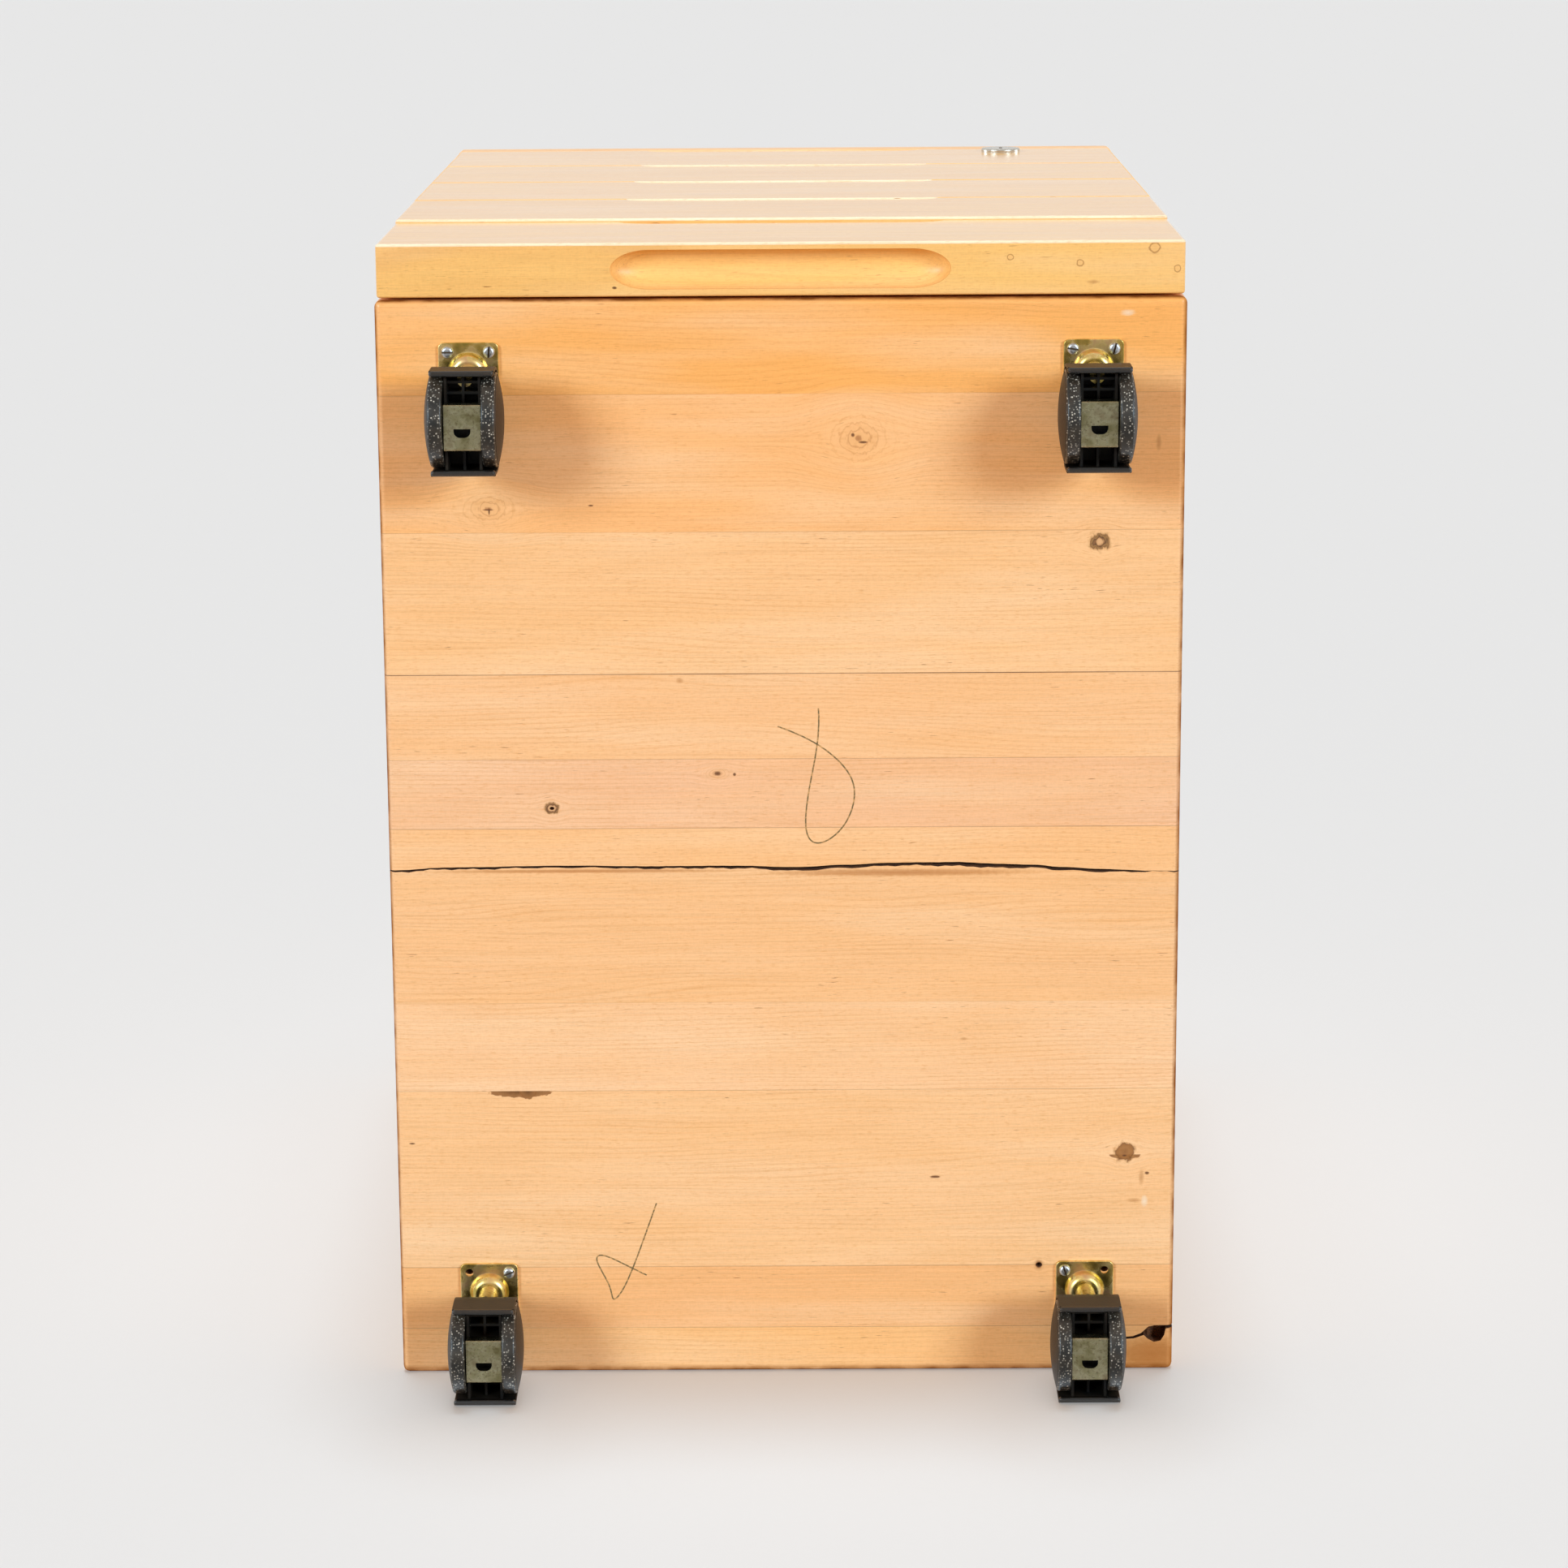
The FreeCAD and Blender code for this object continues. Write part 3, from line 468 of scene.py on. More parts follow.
def torn_wood():
    """Torn maple inside a split: dark, dry and fibrous."""
    finish = bpy.context.scene.pedestal_finish
    material, tree, spot, surface = new_material("torn_maple")
    pitch = (1 / (9 * MM), 1 / (0.7 * MM), 1 / (0.7 * MM))
    scaled = node(tree, "ShaderNodeVectorMath", {0: spot, 1: pitch}, operation="MULTIPLY")[0]
    fibre = node(tree, "ShaderNodeTexNoise", {"Vector": scaled, "Scale": 1.0, "Detail": 3.0})[0]
    shred = node(tree, "ShaderNodeMapRange", {"Value": fibre, "From Min": 0.45, "From Max": 0.75})["Result"]
    tint = node(tree, "ShaderNodeMixRGB", {
        "Fac": shred, "Color1": finish.wood_torn, "Color2": finish.wood_fleck})["Color"]
    bump = node(tree, "ShaderNodeBump", {"Strength": 0.8, "Distance": 0.6 * MM, "Height": fibre})["Normal"]
    feed(tree, surface, {"Base Color": tint, "Roughness": 0.85, "Normal": bump})
    return material


def graphite():
    """Soft pencil on wood: a grey-brown line that skips over the pores."""
    finish = bpy.context.scene.pedestal_finish
    material, tree, spot, surface = new_material("soft_pencil")
    skip = node(tree, "ShaderNodeTexNoise", {"Vector": spot, "Scale": 1 / (1.6 * MM), "Detail": 3.0})[0]
    broken = node(tree, "ShaderNodeMapRange", {
        "Value": skip, "From Min": 0.45, "From Max": 0.7, "To Max": 0.7})["Result"]
    tint = node(tree, "ShaderNodeMixRGB", {
        "Fac": broken, "Color1": finish.pencil, "Color2": finish.wood_deep})["Color"]
    feed(tree, surface, {"Base Color": tint, "Roughness": 0.6})
    return material


def plywood(name, axes, low, high):
    """Sanded birch plywood: pale rotary-cut faces with a broad figure, dark and light plies on the edges."""
    finish = bpy.context.scene.pedestal_finish
    material, tree, spot, surface = new_material(name)
    axis = node(tree, "ShaderNodeSeparateXYZ", {"Vector": spot})
    ordered = node(tree, "ShaderNodeCombineXYZ", {to: axis[letter] for to, letter in zip("XYZ", axes)})[0]
    # Length along and width across the grain, in millimetres.
    parts = {"broad": (160.0, 22.0), "fibre": (30.0, 0.9)}
    figure = {}
    for part, (along, across) in parts.items():
        pitch = (1 / (along * MM), 1 / (across * MM), 1 / (across * MM))
        scaled = node(tree, "ShaderNodeVectorMath", {0: ordered, 1: pitch}, operation="MULTIPLY")[0]
        figure[part] = node(tree, "ShaderNodeTexNoise", {
            "Vector": scaled, "Scale": 1.0, "Detail": 3.0, "Distortion": 0.6})[0]
    waves = node(tree, "ShaderNodeMath", {0: figure["broad"], 1: 9.0}, operation="MULTIPLY")[0]
    waves = node(tree, "ShaderNodeMath", {0: waves}, operation="FRACT")[0]
    lined = node(tree, "ShaderNodeMapRange", {"Value": waves, "From Min": 0.6, "To Max": 0.25})["Result"]
    ply = node(tree, "ShaderNodeMapRange", {
        "Value": axis[axes[2]], "From Min": low, "From Max": high, "To Max": 2.5})["Result"]
    ply = node(tree, "ShaderNodeMath", {0: ply}, operation="FRACT")[0]
    ply = node(tree, "ShaderNodeMath", {0: ply, 1: 0.52}, operation="GREATER_THAN")[0]
    ply = node(tree, "ShaderNodeMath", {0: ply, 1: 0.45}, operation="MULTIPLY")[0]
    tint = finish.plywood
    for share, over in ((lined, finish.wood_deep), (ply, finish.wood_line)):
        tint = node(tree, "ShaderNodeMixRGB", {"Fac": share, "Color1": tint, "Color2": over})["Color"]
    streak = node(tree, "ShaderNodeMapRange", {
        "Value": figure["fibre"], "From Min": 0.3, "From Max": 0.7,
        "To Min": 0.94, "To Max": 1.03})["Result"]
    tint = node(tree, "ShaderNodeHueSaturation", {"Value": streak, "Color": tint})["Color"]
    bump = node(tree, "ShaderNodeBump", {
        "Strength": 0.2, "Distance": 0.1 * MM, "Height": figure["fibre"]})["Normal"]
    feed(tree, surface, {"Base Color": tint, "Roughness": 0.62, "Normal": bump})
    return material


def yellow_zinc(name, hues, grimy):
    """Yellow passivated zinc on pressed steel: gold with a green and pink bloom, softly mirrored."""
    finish = bpy.context.scene.pedestal_finish
    material, tree, spot, surface = new_material(name)
    bloom = node(tree, "ShaderNodeTexNoise", {"Vector": spot, "Scale": 1 / (8 * MM), "Detail": 2.0})[0]
    stops = [(0.3 + 0.13 * index, from_hex(code)) for index, code in enumerate(hues)]
    gold = node(tree, "ShaderNodeValToRGB", {"Fac": bloom}, stops)["Color"]
    stain = node(tree, "ShaderNodeTexNoise", {"Vector": spot, "Scale": 1 / (1.2 * MM), "Detail": 4.0})[0]
    worn = node(tree, "ShaderNodeMapRange", {
        "Value": stain, "From Min": 0.52, "From Max": 0.74, "To Max": grimy})["Result"]
    tint = node(tree, "ShaderNodeMixRGB", {"Fac": worn, "Color1": gold, "Color2": finish.dust})["Color"]
    shine = node(tree, "ShaderNodeMapRange", {
        "Value": bloom, "From Min": 0.3, "From Max": 0.7, "To Min": 0.22, "To Max": 0.32})["Result"]
    bump = node(tree, "ShaderNodeBump", {"Strength": 0.03, "Distance": 0.1 * MM, "Height": stain})["Normal"]
    feed(tree, surface, {"Base Color": tint, "Roughness": shine, "Normal": bump, "Metallic": 1.0})
    return material


def plated(name, tint, grain, smoothest, roughest):
    """Bright plated steel or brass: even colour, with fine polishing marks that soften its mirror."""
    material, tree, spot, surface = new_material(name)
    marks = node(tree, "ShaderNodeTexNoise", {"Vector": spot, "Scale": 1 / grain, "Detail": 4.0})[0]
    gloss, shade = (
        node(tree, "ShaderNodeMapRange", {
            "Value": marks, "From Min": 0.3, "From Max": 0.7, "To Min": least, "To Max": most})["Result"]
        for least, most in ((smoothest, roughest), (0.86, 1.0)))
    tinted = node(tree, "ShaderNodeHueSaturation", {"Value": shade, "Color": tint})["Color"]
    feed(tree, surface, {"Base Color": tinted, "Roughness": gloss, "Metallic": 1.0})
    return material


def slot_grime():
    """Dark dirt and painted shade in a screw's slot: matt and uneven."""
    finish = bpy.context.scene.pedestal_finish
    material, tree, spot, surface = new_material("packed_dirt_and_shade")
    grain = node(tree, "ShaderNodeTexNoise", {"Vector": spot, "Scale": 1 / (0.4 * MM), "Detail": 2.0})[0]
    tint = node(tree, "ShaderNodeMixRGB", {
        "Fac": grain, "Color1": finish.hood, "Color2": finish.dust})["Color"]
    feed(tree, surface, {"Base Color": tint, "Roughness": 0.8})
    return material


def hood_nylon(name, dusty, rough, mirror):
    """Moulded black nylon, glossy from its mould, with brown dust lying in soft patches."""
    finish = bpy.context.scene.pedestal_finish
    material, tree, spot, surface = new_material(name)
    cloud = node(tree, "ShaderNodeTexNoise", {"Vector": spot, "Scale": 1 / (12 * MM), "Detail": 5.0})[0]
    settled = node(tree, "ShaderNodeMapRange", {
        "Value": cloud, "From Min": 0.36, "From Max": 0.7, "To Max": dusty})["Result"]
    tint = node(tree, "ShaderNodeMixRGB", {
        "Fac": settled, "Color1": finish.hood, "Color2": finish.dust})["Color"]
    shine = node(tree, "ShaderNodeMapRange", {
        "Value": settled, "From Max": 0.6, "To Min": rough, "To Max": 0.7})["Result"]
    feed(tree, surface, {"Base Color": tint, "Roughness": shine, "IOR": 1.53, "Specular IOR Level": mirror})
    return material


def wheel_nylon(name, grit, dusty, rough, mirror):
    """Moulded black nylon of the wheels: fine-grained and rubbed, with pale grit pressed into the tread."""
    finish = bpy.context.scene.pedestal_finish
    material, tree, spot, surface = new_material(name)
    cloud = node(tree, "ShaderNodeTexNoise", {"Vector": spot, "Scale": 1 / (9 * MM), "Detail": 4.0})[0]
    settled = node(tree, "ShaderNodeMapRange", {
        "Value": cloud, "From Min": 0.4, "From Max": 0.75, "To Max": dusty})["Result"]
    cells = node(tree, "ShaderNodeTexVoronoi", {"Vector": spot, "Scale": 1 / (1.3 * MM)})
    lone = node(tree, "ShaderNodeSeparateColor", {"Color": cells["Color"]})["Red"]
    chosen = node(tree, "ShaderNodeMapRange", {
        "Value": lone, "From Min": 1 - 0.9 * grit, "From Max": 1.0, "To Max": grit})["Result"]
    close = node(tree, "ShaderNodeMapRange", {
        "Value": cells["Distance"], "From Min": 0.12, "From Max": 0.4,
        "To Min": 1.0, "To Max": 0.0})["Result"]
    speck = node(tree, "ShaderNodeMath", {0: chosen, 1: close}, operation="MULTIPLY")[0]
    tint = finish.wheel
    for share, over in ((settled, finish.dust), (speck, finish.grit)):
        tint = node(tree, "ShaderNodeMixRGB", {"Fac": share, "Color1": tint, "Color2": over})["Color"]
    # Nylon's mould grain of a few hundredths is drawn at half a millimetre, so that it shows.
    grain = node(tree, "ShaderNodeTexNoise", {"Vector": spot, "Scale": 1 / (0.5 * MM), "Detail": 2.0})[0]
    bump = node(tree, "ShaderNodeBump", {"Strength": 0.5, "Distance": 0.12 * MM, "Height": grain})["Normal"]
    shine = node(tree, "ShaderNodeMapRange", {
        "Value": settled, "From Max": 0.5, "To Min": rough, "To Max": 0.7})["Result"]
    feed(tree, surface, {"Base Color": tint, "Roughness": shine, "Normal": bump, "IOR": 1.53,
                         "Specular IOR Level": mirror})
    return material


def block(shape, low, high):
    """Add a block between two opposite corners and return its corners."""
    low = Vector(low)
    high = Vector(high)
    corners = bmesh.ops.create_cube(shape, size=1.0)["verts"]
    bmesh.ops.scale(shape, vec=high - low, verts=corners)
    bmesh.ops.translate(shape, vec=(low + high) / 2, verts=corners)
    return corners


def slab(low, high):
    """A new shape that is a single block between two opposite corners."""
    shape = bmesh.new()
    block(shape, low, high)
    return shape


def paint(shape, finish):
    """Give every face of a shape one finish, by its place in the piece's list, and return the shape."""
    for face in shape.faces:
        face.material_index = finish
    return shape


def edges_between(corners):
    """The edges that join the given corners, in an order that is the same in every run."""
    found = []
    for corner in corners:
        for edge in corner.link_edges:
            if edge.other_vert(corner) in corners and edge not in found:
                found.append(edge)
    return found


def ease(shape, edges, radius, segments):
    """Round edges over."""
    bmesh.ops.bevel(shape, geom=edges, offset=radius, segments=segments, profile=0.5,
                    affect="EDGES", clamp_overlap=True, material=-1)


def middle(edge):
    """The point halfway along an edge."""
    return (edge.verts[0].co + edge.verts[1].co) / 2


def near(one, other):
    """True where two places agree to a hundredth of a millimetre."""
    return abs(one - other) < 0.01 * MM


def turn(shape, outline, centre, axis, steps):
    """Add an outline of (radius, along) points, spun a full turn about X or Z, to a shape and return it."""
    centre = Vector(centre)
    ways = {"X": ((0, 1, 0), (1, 0, 0)), "Z": ((1, 0, 0), (0, 0, 1))}
    outwards, forwards = (Vector(way) for way in ways[axis])
    corners = [shape.verts.new(centre + outwards * radius + forwards * along) for radius, along in outline]
    edges = [shape.edges.new(pair) for pair in zip(corners, corners[1:])]
    bmesh.ops.spin(shape, geom=corners + edges, cent=centre, axis=forwards, dvec=(0, 0, 0),
                   angle=math.tau, steps=steps, use_merge=True)
    return shape


def arc(centre, radius, start, end, steps):
    """Points of a circular arc in an outline, from one angle in degrees to another."""
    angles = [math.radians(start + (end - start) * step / steps) for step in range(steps + 1)]
    return [(centre[0] + radius * math.cos(angle), centre[1] + radius * math.sin(angle)) for angle in angles]


def prism(outline, start, end, axis):
    """A block with an outline, along X with (back, up) points or along Z with (across, back) points."""
    shape = bmesh.new()
    ways = {"X": lambda one, two: (start, one, two), "Z": lambda one, two: (one, two, start)}
    face = shape.faces.new([shape.verts.new(ways[axis](*point)) for point in outline])
    grown = bmesh.ops.extrude_face_region(shape, geom=[face])["geom"]
    far = [part for part in grown if isinstance(part, bmesh.types.BMVert)]
    bmesh.ops.translate(shape, vec=Vector((axis == "X", 0, axis == "Z")) * (end - start), verts=far)
    return shape


def carved(shape, tool, operation="DIFFERENCE"):
    """A shape with a tool cut out of it, or joined to it. The tool's faces keep their material."""
    holders = []
    for part in (shape, tool):
        bmesh.ops.remove_doubles(part, verts=part.verts, dist=WELD)
        bmesh.ops.recalc_face_normals(part, faces=part.faces)
        mesh = bpy.data.meshes.new("carving")
        part.to_mesh(mesh)
        part.free()
        for slot in range(MOST_FINISHES):
            mesh.materials.append(None)
        holder = bpy.data.objects.new("carving", mesh)
        bpy.context.scene.collection.objects.link(holder)
        holders.append(holder)
    target, cutter = holders
    modifier = target.modifiers.new("carve", "BOOLEAN")
    modifier.object = cutter
    modifier.operation = operation
    modifier.solver = "EXACT"
    bpy.context.view_layer.update()
    done = bpy.data.meshes.new_from_object(target.evaluated_get(bpy.context.evaluated_depsgraph_get()))
    result = bmesh.new()
    result.from_mesh(done)
    bpy.data.meshes.remove(done)
    for holder in holders:
        mesh = holder.data
        bpy.data.objects.remove(holder)
        bpy.data.meshes.remove(mesh)
    if not result.faces:
        raise RuntimeError("a cut left nothing over")
    return result


def finish_piece(shape, name, body, materials, nodes):
    """Turn a shape into a finished piece at the origin that rides on a body and stands for its nodes."""
    bmesh.ops.remove_doubles(shape, verts=shape.verts, dist=WELD)
    bmesh.ops.recalc_face_normals(shape, faces=shape.faces)
    mesh = bpy.data.meshes.new(name)
    shape.to_mesh(mesh)
    shape.free()
    for polygon in mesh.polygons:
        polygon.use_smooth = True
    mesh.set_sharp_from_angle(angle=CREASE)
    for material in materials:
        mesh.materials.append(material)
    piece = bpy.data.objects.new(name, mesh)
    bpy.context.scene.collection.objects.link(piece)
    even = piece.modifiers.new("even_flat_faces", "WEIGHTED_NORMAL")
    even.keep_sharp = True
    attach(piece, body)
    if nodes:
        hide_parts(*nodes)


def dress(nodes, material):
    """Give carried-over nodes a finish."""
    for name in nodes:
        piece = frame["nodes"][name]
        piece.data.materials.clear()
        piece.data.materials.append(material)


def plate_holes(empty):
    """Places of the caster plates' screw holes: those that have lost their screw, or those that hold one."""
    spacing = bpy.context.scene.pedestal_sizes.screw_spacing
    places = []
    for caster in CASTERS:
        low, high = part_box(f"caster_{caster}_plate")
        for x in (-1, 1):
            for y in (-1, 1):
                if ((caster, x, y) in EMPTY_HOLES) == empty:
                    places.append(((low.x + high.x + x * spacing) / 2, (low.y + high.y + y * spacing) / 2))
    return places


class PEDESTAL_OT_bottom_board(bpy.types.Operator):
    """Make the bottom board with its split, knots and broken corner"""

    bl_idname = "pedestal.bottom_board"
    bl_label = "Bottom board"

    # Place of the torn finish in the board's list.
    TORN = 1
    # Places are millimetres: across the width from the middle, then back from the board's front edge.
    # The split: two places and its opening.
    split = (
        (-216, 310.6, 1.2), (-180, 309.1, 1.4), (-118, 308.4, 1.4), (-73, 309.1, 1.6), (-29, 309.0, 1.7),
        (6, 310.3, 2.4), (33, 309.1, 2.3), (59, 307.9, 1.9), (94, 308.0, 2.6), (120, 309.3, 2.8),
        (137, 309.5, 2.0), (150, 310.8, 2.1), (170, 312.0, 2.2), (188, 312.3, 1.2), (197, 312.6, 0.6),
        (216, 312.8, 0.6),
    )
    # Steps along the split, what share of its opening is left at its floor, the waves of its ragged edges:
    # height in millimetres, radians in a millimetre and start, and their share on the front and rear edge.
    split_steps = 110
    split_floor = 0.35
    split_waves = ((0.28, 1.9, 0.0), (0.22, 0.83, 1.0), (0.12, 4.7, 0.0))
    split_edges = {-1: 0.2, 1: 1.0}
    # Outline of the hole and the crack at the broken rear corner, its depth, how far its floor wavers, and
    # by how many radians from corner to corner.
    broken = (
        (186, 580.9), (193, 580.2), (197.5, 578.4), (201.5, 574.6), (205, 573.9), (216, 573.8), (216, 575.4),
        (211.2, 575.8), (210.4, 579.6), (208.4, 582.9), (204.6, 583.6), (201.2, 581.8), (199, 579.6),
        (193.4, 581.6), (186, 582.0),
    )
    broken_depth = 7.0
    broken_waver = 2.0
    broken_pace = 2.1
    # Starts and tones of the staves from front to back, and how dark the joint before each is.
    staves = (
        (-1, "FFB361", 0.0), (50.4, "FEBC7C", 0.3), (124.4, "FDC790", 0.35), (201.8, "FBC490", 0.9),
        (248.8, "F6C197", 0.4), (287.2, "FCC48D", 0.55), (310, "F9C38E", 0.0), (385.6, "FCCB9C", 0.12),
        (435.8, "FAC793", 0.4), (538, "F6B97F", 0.6), (573.8, "FCC284", 0.45),
    )
    # Marks in the wood: kind, two places, half length along the grain and half width across it.
    marks = (
        ("sound_knot", 41, 74.4, 13.0, 10.5), ("fleck", 43.5, 76.5, 3.0, 0.8), ("fleck", 38, 72.6, 1.2, 1.4),
        ("sound_knot", -156.6, 111.3, 12.0, 7.5), ("fleck", -157, 111.8, 3.6, 0.5),
        ("fleck", -156.4, 112.6, 0.6, 2.4), ("fleck", -102, 109.8, 1.7, 0.6),
        ("loose_knot", 169.8, 130.7, 5.2, 4.6), ("sound_knot", -35.8, 256.9, 5.5, 3.0),
        ("fleck", -26.6, 257.4, 1.0, 1.1), ("loose_knot", -125.8, 275.8, 3.6, 3.4),
        ("bark", 187.2, 474.0, 8.4, 2.6), ("grown_knot", 187.2, 472.6, 5.4, 5.0),
        ("fleck", 187.0, 474.6, 1.8, 0.8), ("fleck", -35.8, 256.9, 2.4, 1.5),
        ("streak", -55.6, 205.4, 2.4, 2.0), ("open_knot", 140.2, 537.9, 1.9, 2.2),
        ("bark", -146, 435.8, 17.0, 3.6), ("bark", -142, 435.8, 4.6, 4.4),
        ("fleck", -206.5, 465.8, 1.9, 0.6), ("streak", 98.2, 407.0, 2.6, 1.2),
        ("fleck", 82.3, 486.4, 3.4, 0.9), ("streak", 196.5, 487.0, 1.8, 6.0),
        ("fleck", 199.5, 484.8, 1.5, 1.1), ("streak", 192.5, 500.5, 4.5, 1.6),
        ("bruise", 204, 591.0, 22.0, 10.5),
        ("torn_lip", 62, 312.6, 78.0, 2.4), ("torn_lip", -110, 311.0, 90.0, 1.2),
        ("scuff", 183.5, 8.3, 4.5, 2.0), ("streak", 200.7, 77.4, 1.8, 5.0),
        ("scuff", 198.4, 501.1, 2.2, 4.0),
    )
    # Open knot holes: two places and radius, and how far they are stretched along the grain, across it and
    # into the board.
    holes = ((-125.8, 275.8, 1.0), (140.2, 537.9, 1.4))
    hole_stretch = (1.3, 0.9, 3.0)
    # A carpenter's pencil: loops of two plain strokes, and their height as a share of their width.
    strokes = (
        ((-3, 231), (14, 237), (32, 250), (41, 266), (34, 288), (18, 299), (10, 291), (14, 262), (20, 236),
         (19, 221)),
        ((-72, 501), (-80, 524), (-90, 552), (-98, 560), (-97, 550), (-108, 533), (-103, 529), (-88, 538),
         (-78, 543)),
    )
    stroke_height = 0.1

    def split_tool(self, underside):
        """A thin wavering slab along the split."""
        depth = bpy.context.scene.pedestal_sizes.split_depth
        left, right = (self.split[index][0] * MM for index in (0, -1))
        tool = bmesh.new()
        corners = block(tool, (left, -MM, underside - 2 * MM), (right, MM, underside + depth))
        lengthwise = [edge for edge in edges_between(corners)
                      if abs(edge.verts[0].co.x - edge.verts[1].co.x) > MM]
        bmesh.ops.subdivide_edges(tool, edges=lengthwise, cuts=self.split_steps, use_grid_fill=True)
        for corner in tool.verts:
            x = corner.co.x / MM
            before, after = next(pair for pair in zip(self.split, self.split[1:]) if x <= pair[1][0] + 0.01)
            share = min(max((x - before[0]) / (after[0] - before[0]), 0.0), 1.0)
            share = share * share * (3 - 2 * share)
            line, opening = (a + (b - a) * share for a, b in zip(before[1:], after[1:]))
            ragged = sum(height * math.sin(x * pace + start) for height, pace, start in self.split_waves)
            side = 1 if corner.co.y > 0 else -1
            if corner.co.z > underside:
                opening *= self.split_floor
            place = line + ragged * self.split_edges[side] + side * opening / 2
            corner.co.y = BOARD_LOW.y + place * MM
        return tool

    def corner_tool(self, underside):
        """A prism over the broken corner with an uneven floor."""
        tool = bmesh.new()
        outline = [tool.verts.new((x * MM, BOARD_LOW.y + y * MM, underside - 2 * MM))
                   for x, y in self.broken]
        floor = bmesh.ops.extrude_face_region(tool, geom=[tool.faces.new(outline)])["geom"]
        for index, corner in enumerate(part for part in floor if isinstance(part, bmesh.types.BMVert)):
            depth = self.broken_depth + self.broken_waver * math.sin(index * self.broken_pace)
            corner.co.z = underside + depth * MM
        bmesh.ops.triangulate(tool, faces=tool.faces)
        return tool

    def hole_tool(self, place, underside):
        """An egg-shaped cutter for an open knot."""
        x, y, radius = place
        tool = bmesh.new()
        egg = bmesh.ops.create_icosphere(tool, subdivisions=3, radius=radius * MM)["verts"]
        bmesh.ops.scale(tool, vec=self.hole_stretch, verts=egg)
        bmesh.ops.translate(tool, vec=(x * MM, BOARD_LOW.y + y * MM, underside), verts=egg)
        return tool

    def lost_screws(self):
        """Pilot holes under the plates' empty holes, as open knot holes are given."""
        radius = bpy.context.scene.pedestal_sizes.screw_radius
        return [(x / MM, (y - BOARD_LOW.y) / MM, radius / MM) for x, y in plate_holes(empty=True)]

    def pencil_strokes(self, underside):
        """Flat lines along the strokes, a hair proud of the wood."""
        sizes = bpy.context.scene.pedestal_sizes
        path = bpy.data.curves.new("pencil_strokes", "CURVE")
        path.dimensions = "3D"
        path.bevel_depth = sizes.pencil_line / 2
        path.bevel_resolution = 1
        path.use_fill_caps = True
        for stroke in self.strokes:
            line = path.splines.new("NURBS")
            line.points.add(len(stroke) - 1)
            for point, (x, y) in zip(line.points, stroke):
                point.co = (x * MM, BOARD_LOW.y + y * MM, 0.0, 1.0)
            line.order_u = 4
            line.use_endpoint_u = True
            line.resolution_u = 8
        drawn = bpy.data.objects.new("pencil_strokes", path)
        mesh = bpy.data.meshes.new_from_object(drawn)
        shape = bmesh.new()
        shape.from_mesh(mesh)
        bpy.data.objects.remove(drawn)
        bpy.data.curves.remove(path)
        bpy.data.meshes.remove(mesh)
        bmesh.ops.scale(shape, vec=(1, 1, self.stroke_height), verts=shape.verts)
        bmesh.ops.translate(shape, vec=(0, 0, underside), verts=shape.verts)
        finish_piece(shape, "pencil_strokes", "carcass", [graphite()], [])

    def material(self, underside):
        """The board's own wood: its staves, its marks, and its edges with dirt, painted shade and a painted
        contact shadow.
        """
        easing = bpy.context.scene.pedestal_sizes.board_easing
        finish = bpy.context.scene.pedestal_finish
        low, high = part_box("bottom_board")
        marks = [(kind, (x * MM, low.y + y * MM, underside), (along * MM, across * MM, 1.0))
                 for kind, x, y, along, across in self.marks]
        staves = [(low.y + start * MM, code, glue) for start, code, glue in self.staves]
        material = wood("maple_bottom_board", "XYZ", staves, marks)
        tree = material.node_tree
        surface = tree.nodes["surface"]
        tint = surface.inputs["Base Color"].links[0].from_socket
        gleam = surface.inputs["Specular IOR Level"].default_value
        spot = node(tree, "ShaderNodeTexCoord")["Object"]
        axis = node(tree, "ShaderNodeSeparateXYZ", {"Vector": spot})

        # Grime and painted shade lie on the edges of the underside, and hardly on the upright faces.
        cloud = node(tree, "ShaderNodeTexNoise", {"Vector": spot, "Scale": 1 / (12 * MM), "Detail": 4.0})[0]
        under = node(tree, "ShaderNodeMapRange", {
            "Value": axis["Z"], "From Min": underside + 0.8 * easing, "From Max": underside + 1.5 * easing,
            "To Min": 1.0, "To Max": 0.08})["Result"]
        grime_and_shade = node(tree, "ShaderNodeMath", {0: cloud, 1: under}, operation="MULTIPLY")[0]
        # Each edge: its axis, its place, how far the dirt and painted shade reach in millimetres, and its
        # colour. The last, darkest line along the rear edge is a painted contact shadow against the floor.
        edges = (
            ("X", high.x, -2.6, finish.wood_fleck), ("X", low.x, 1.8, finish.wood_fleck),
            ("Y", high.y, -4.6, finish.wood_fleck), ("Y", low.y, 1.5, finish.wood_fleck),
            ("Y", high.y, -1.4, finish.wood_torn),
        )
        for letter, edge, reach, dirt_and_shade in edges:
            from_edge = node(tree, "ShaderNodeMapRange", {
                "Value": axis[letter], "From Min": edge, "From Max": edge + reach * MM,
                "To Min": 2.0, "To Max": 0.0})["Result"]
            shade = node(tree, "ShaderNodeMath", {0: from_edge, 1: grime_and_shade}, operation="MULTIPLY")[0]
            tint = node(tree, "ShaderNodeMixRGB", {"Fac": shade, "Color1": tint, "Color2": dirt_and_shade})["Color"]
            # Grime and painted shade are matt, so they take the gleam away.
            gleam = node(tree, "ShaderNodeMath", {0: gleam, 1: shade},
                         operation="SUBTRACT", use_clamp=True)[0]
        feed(tree, surface, {"Base Color": tint, "Specular IOR Level": gleam})
        return material

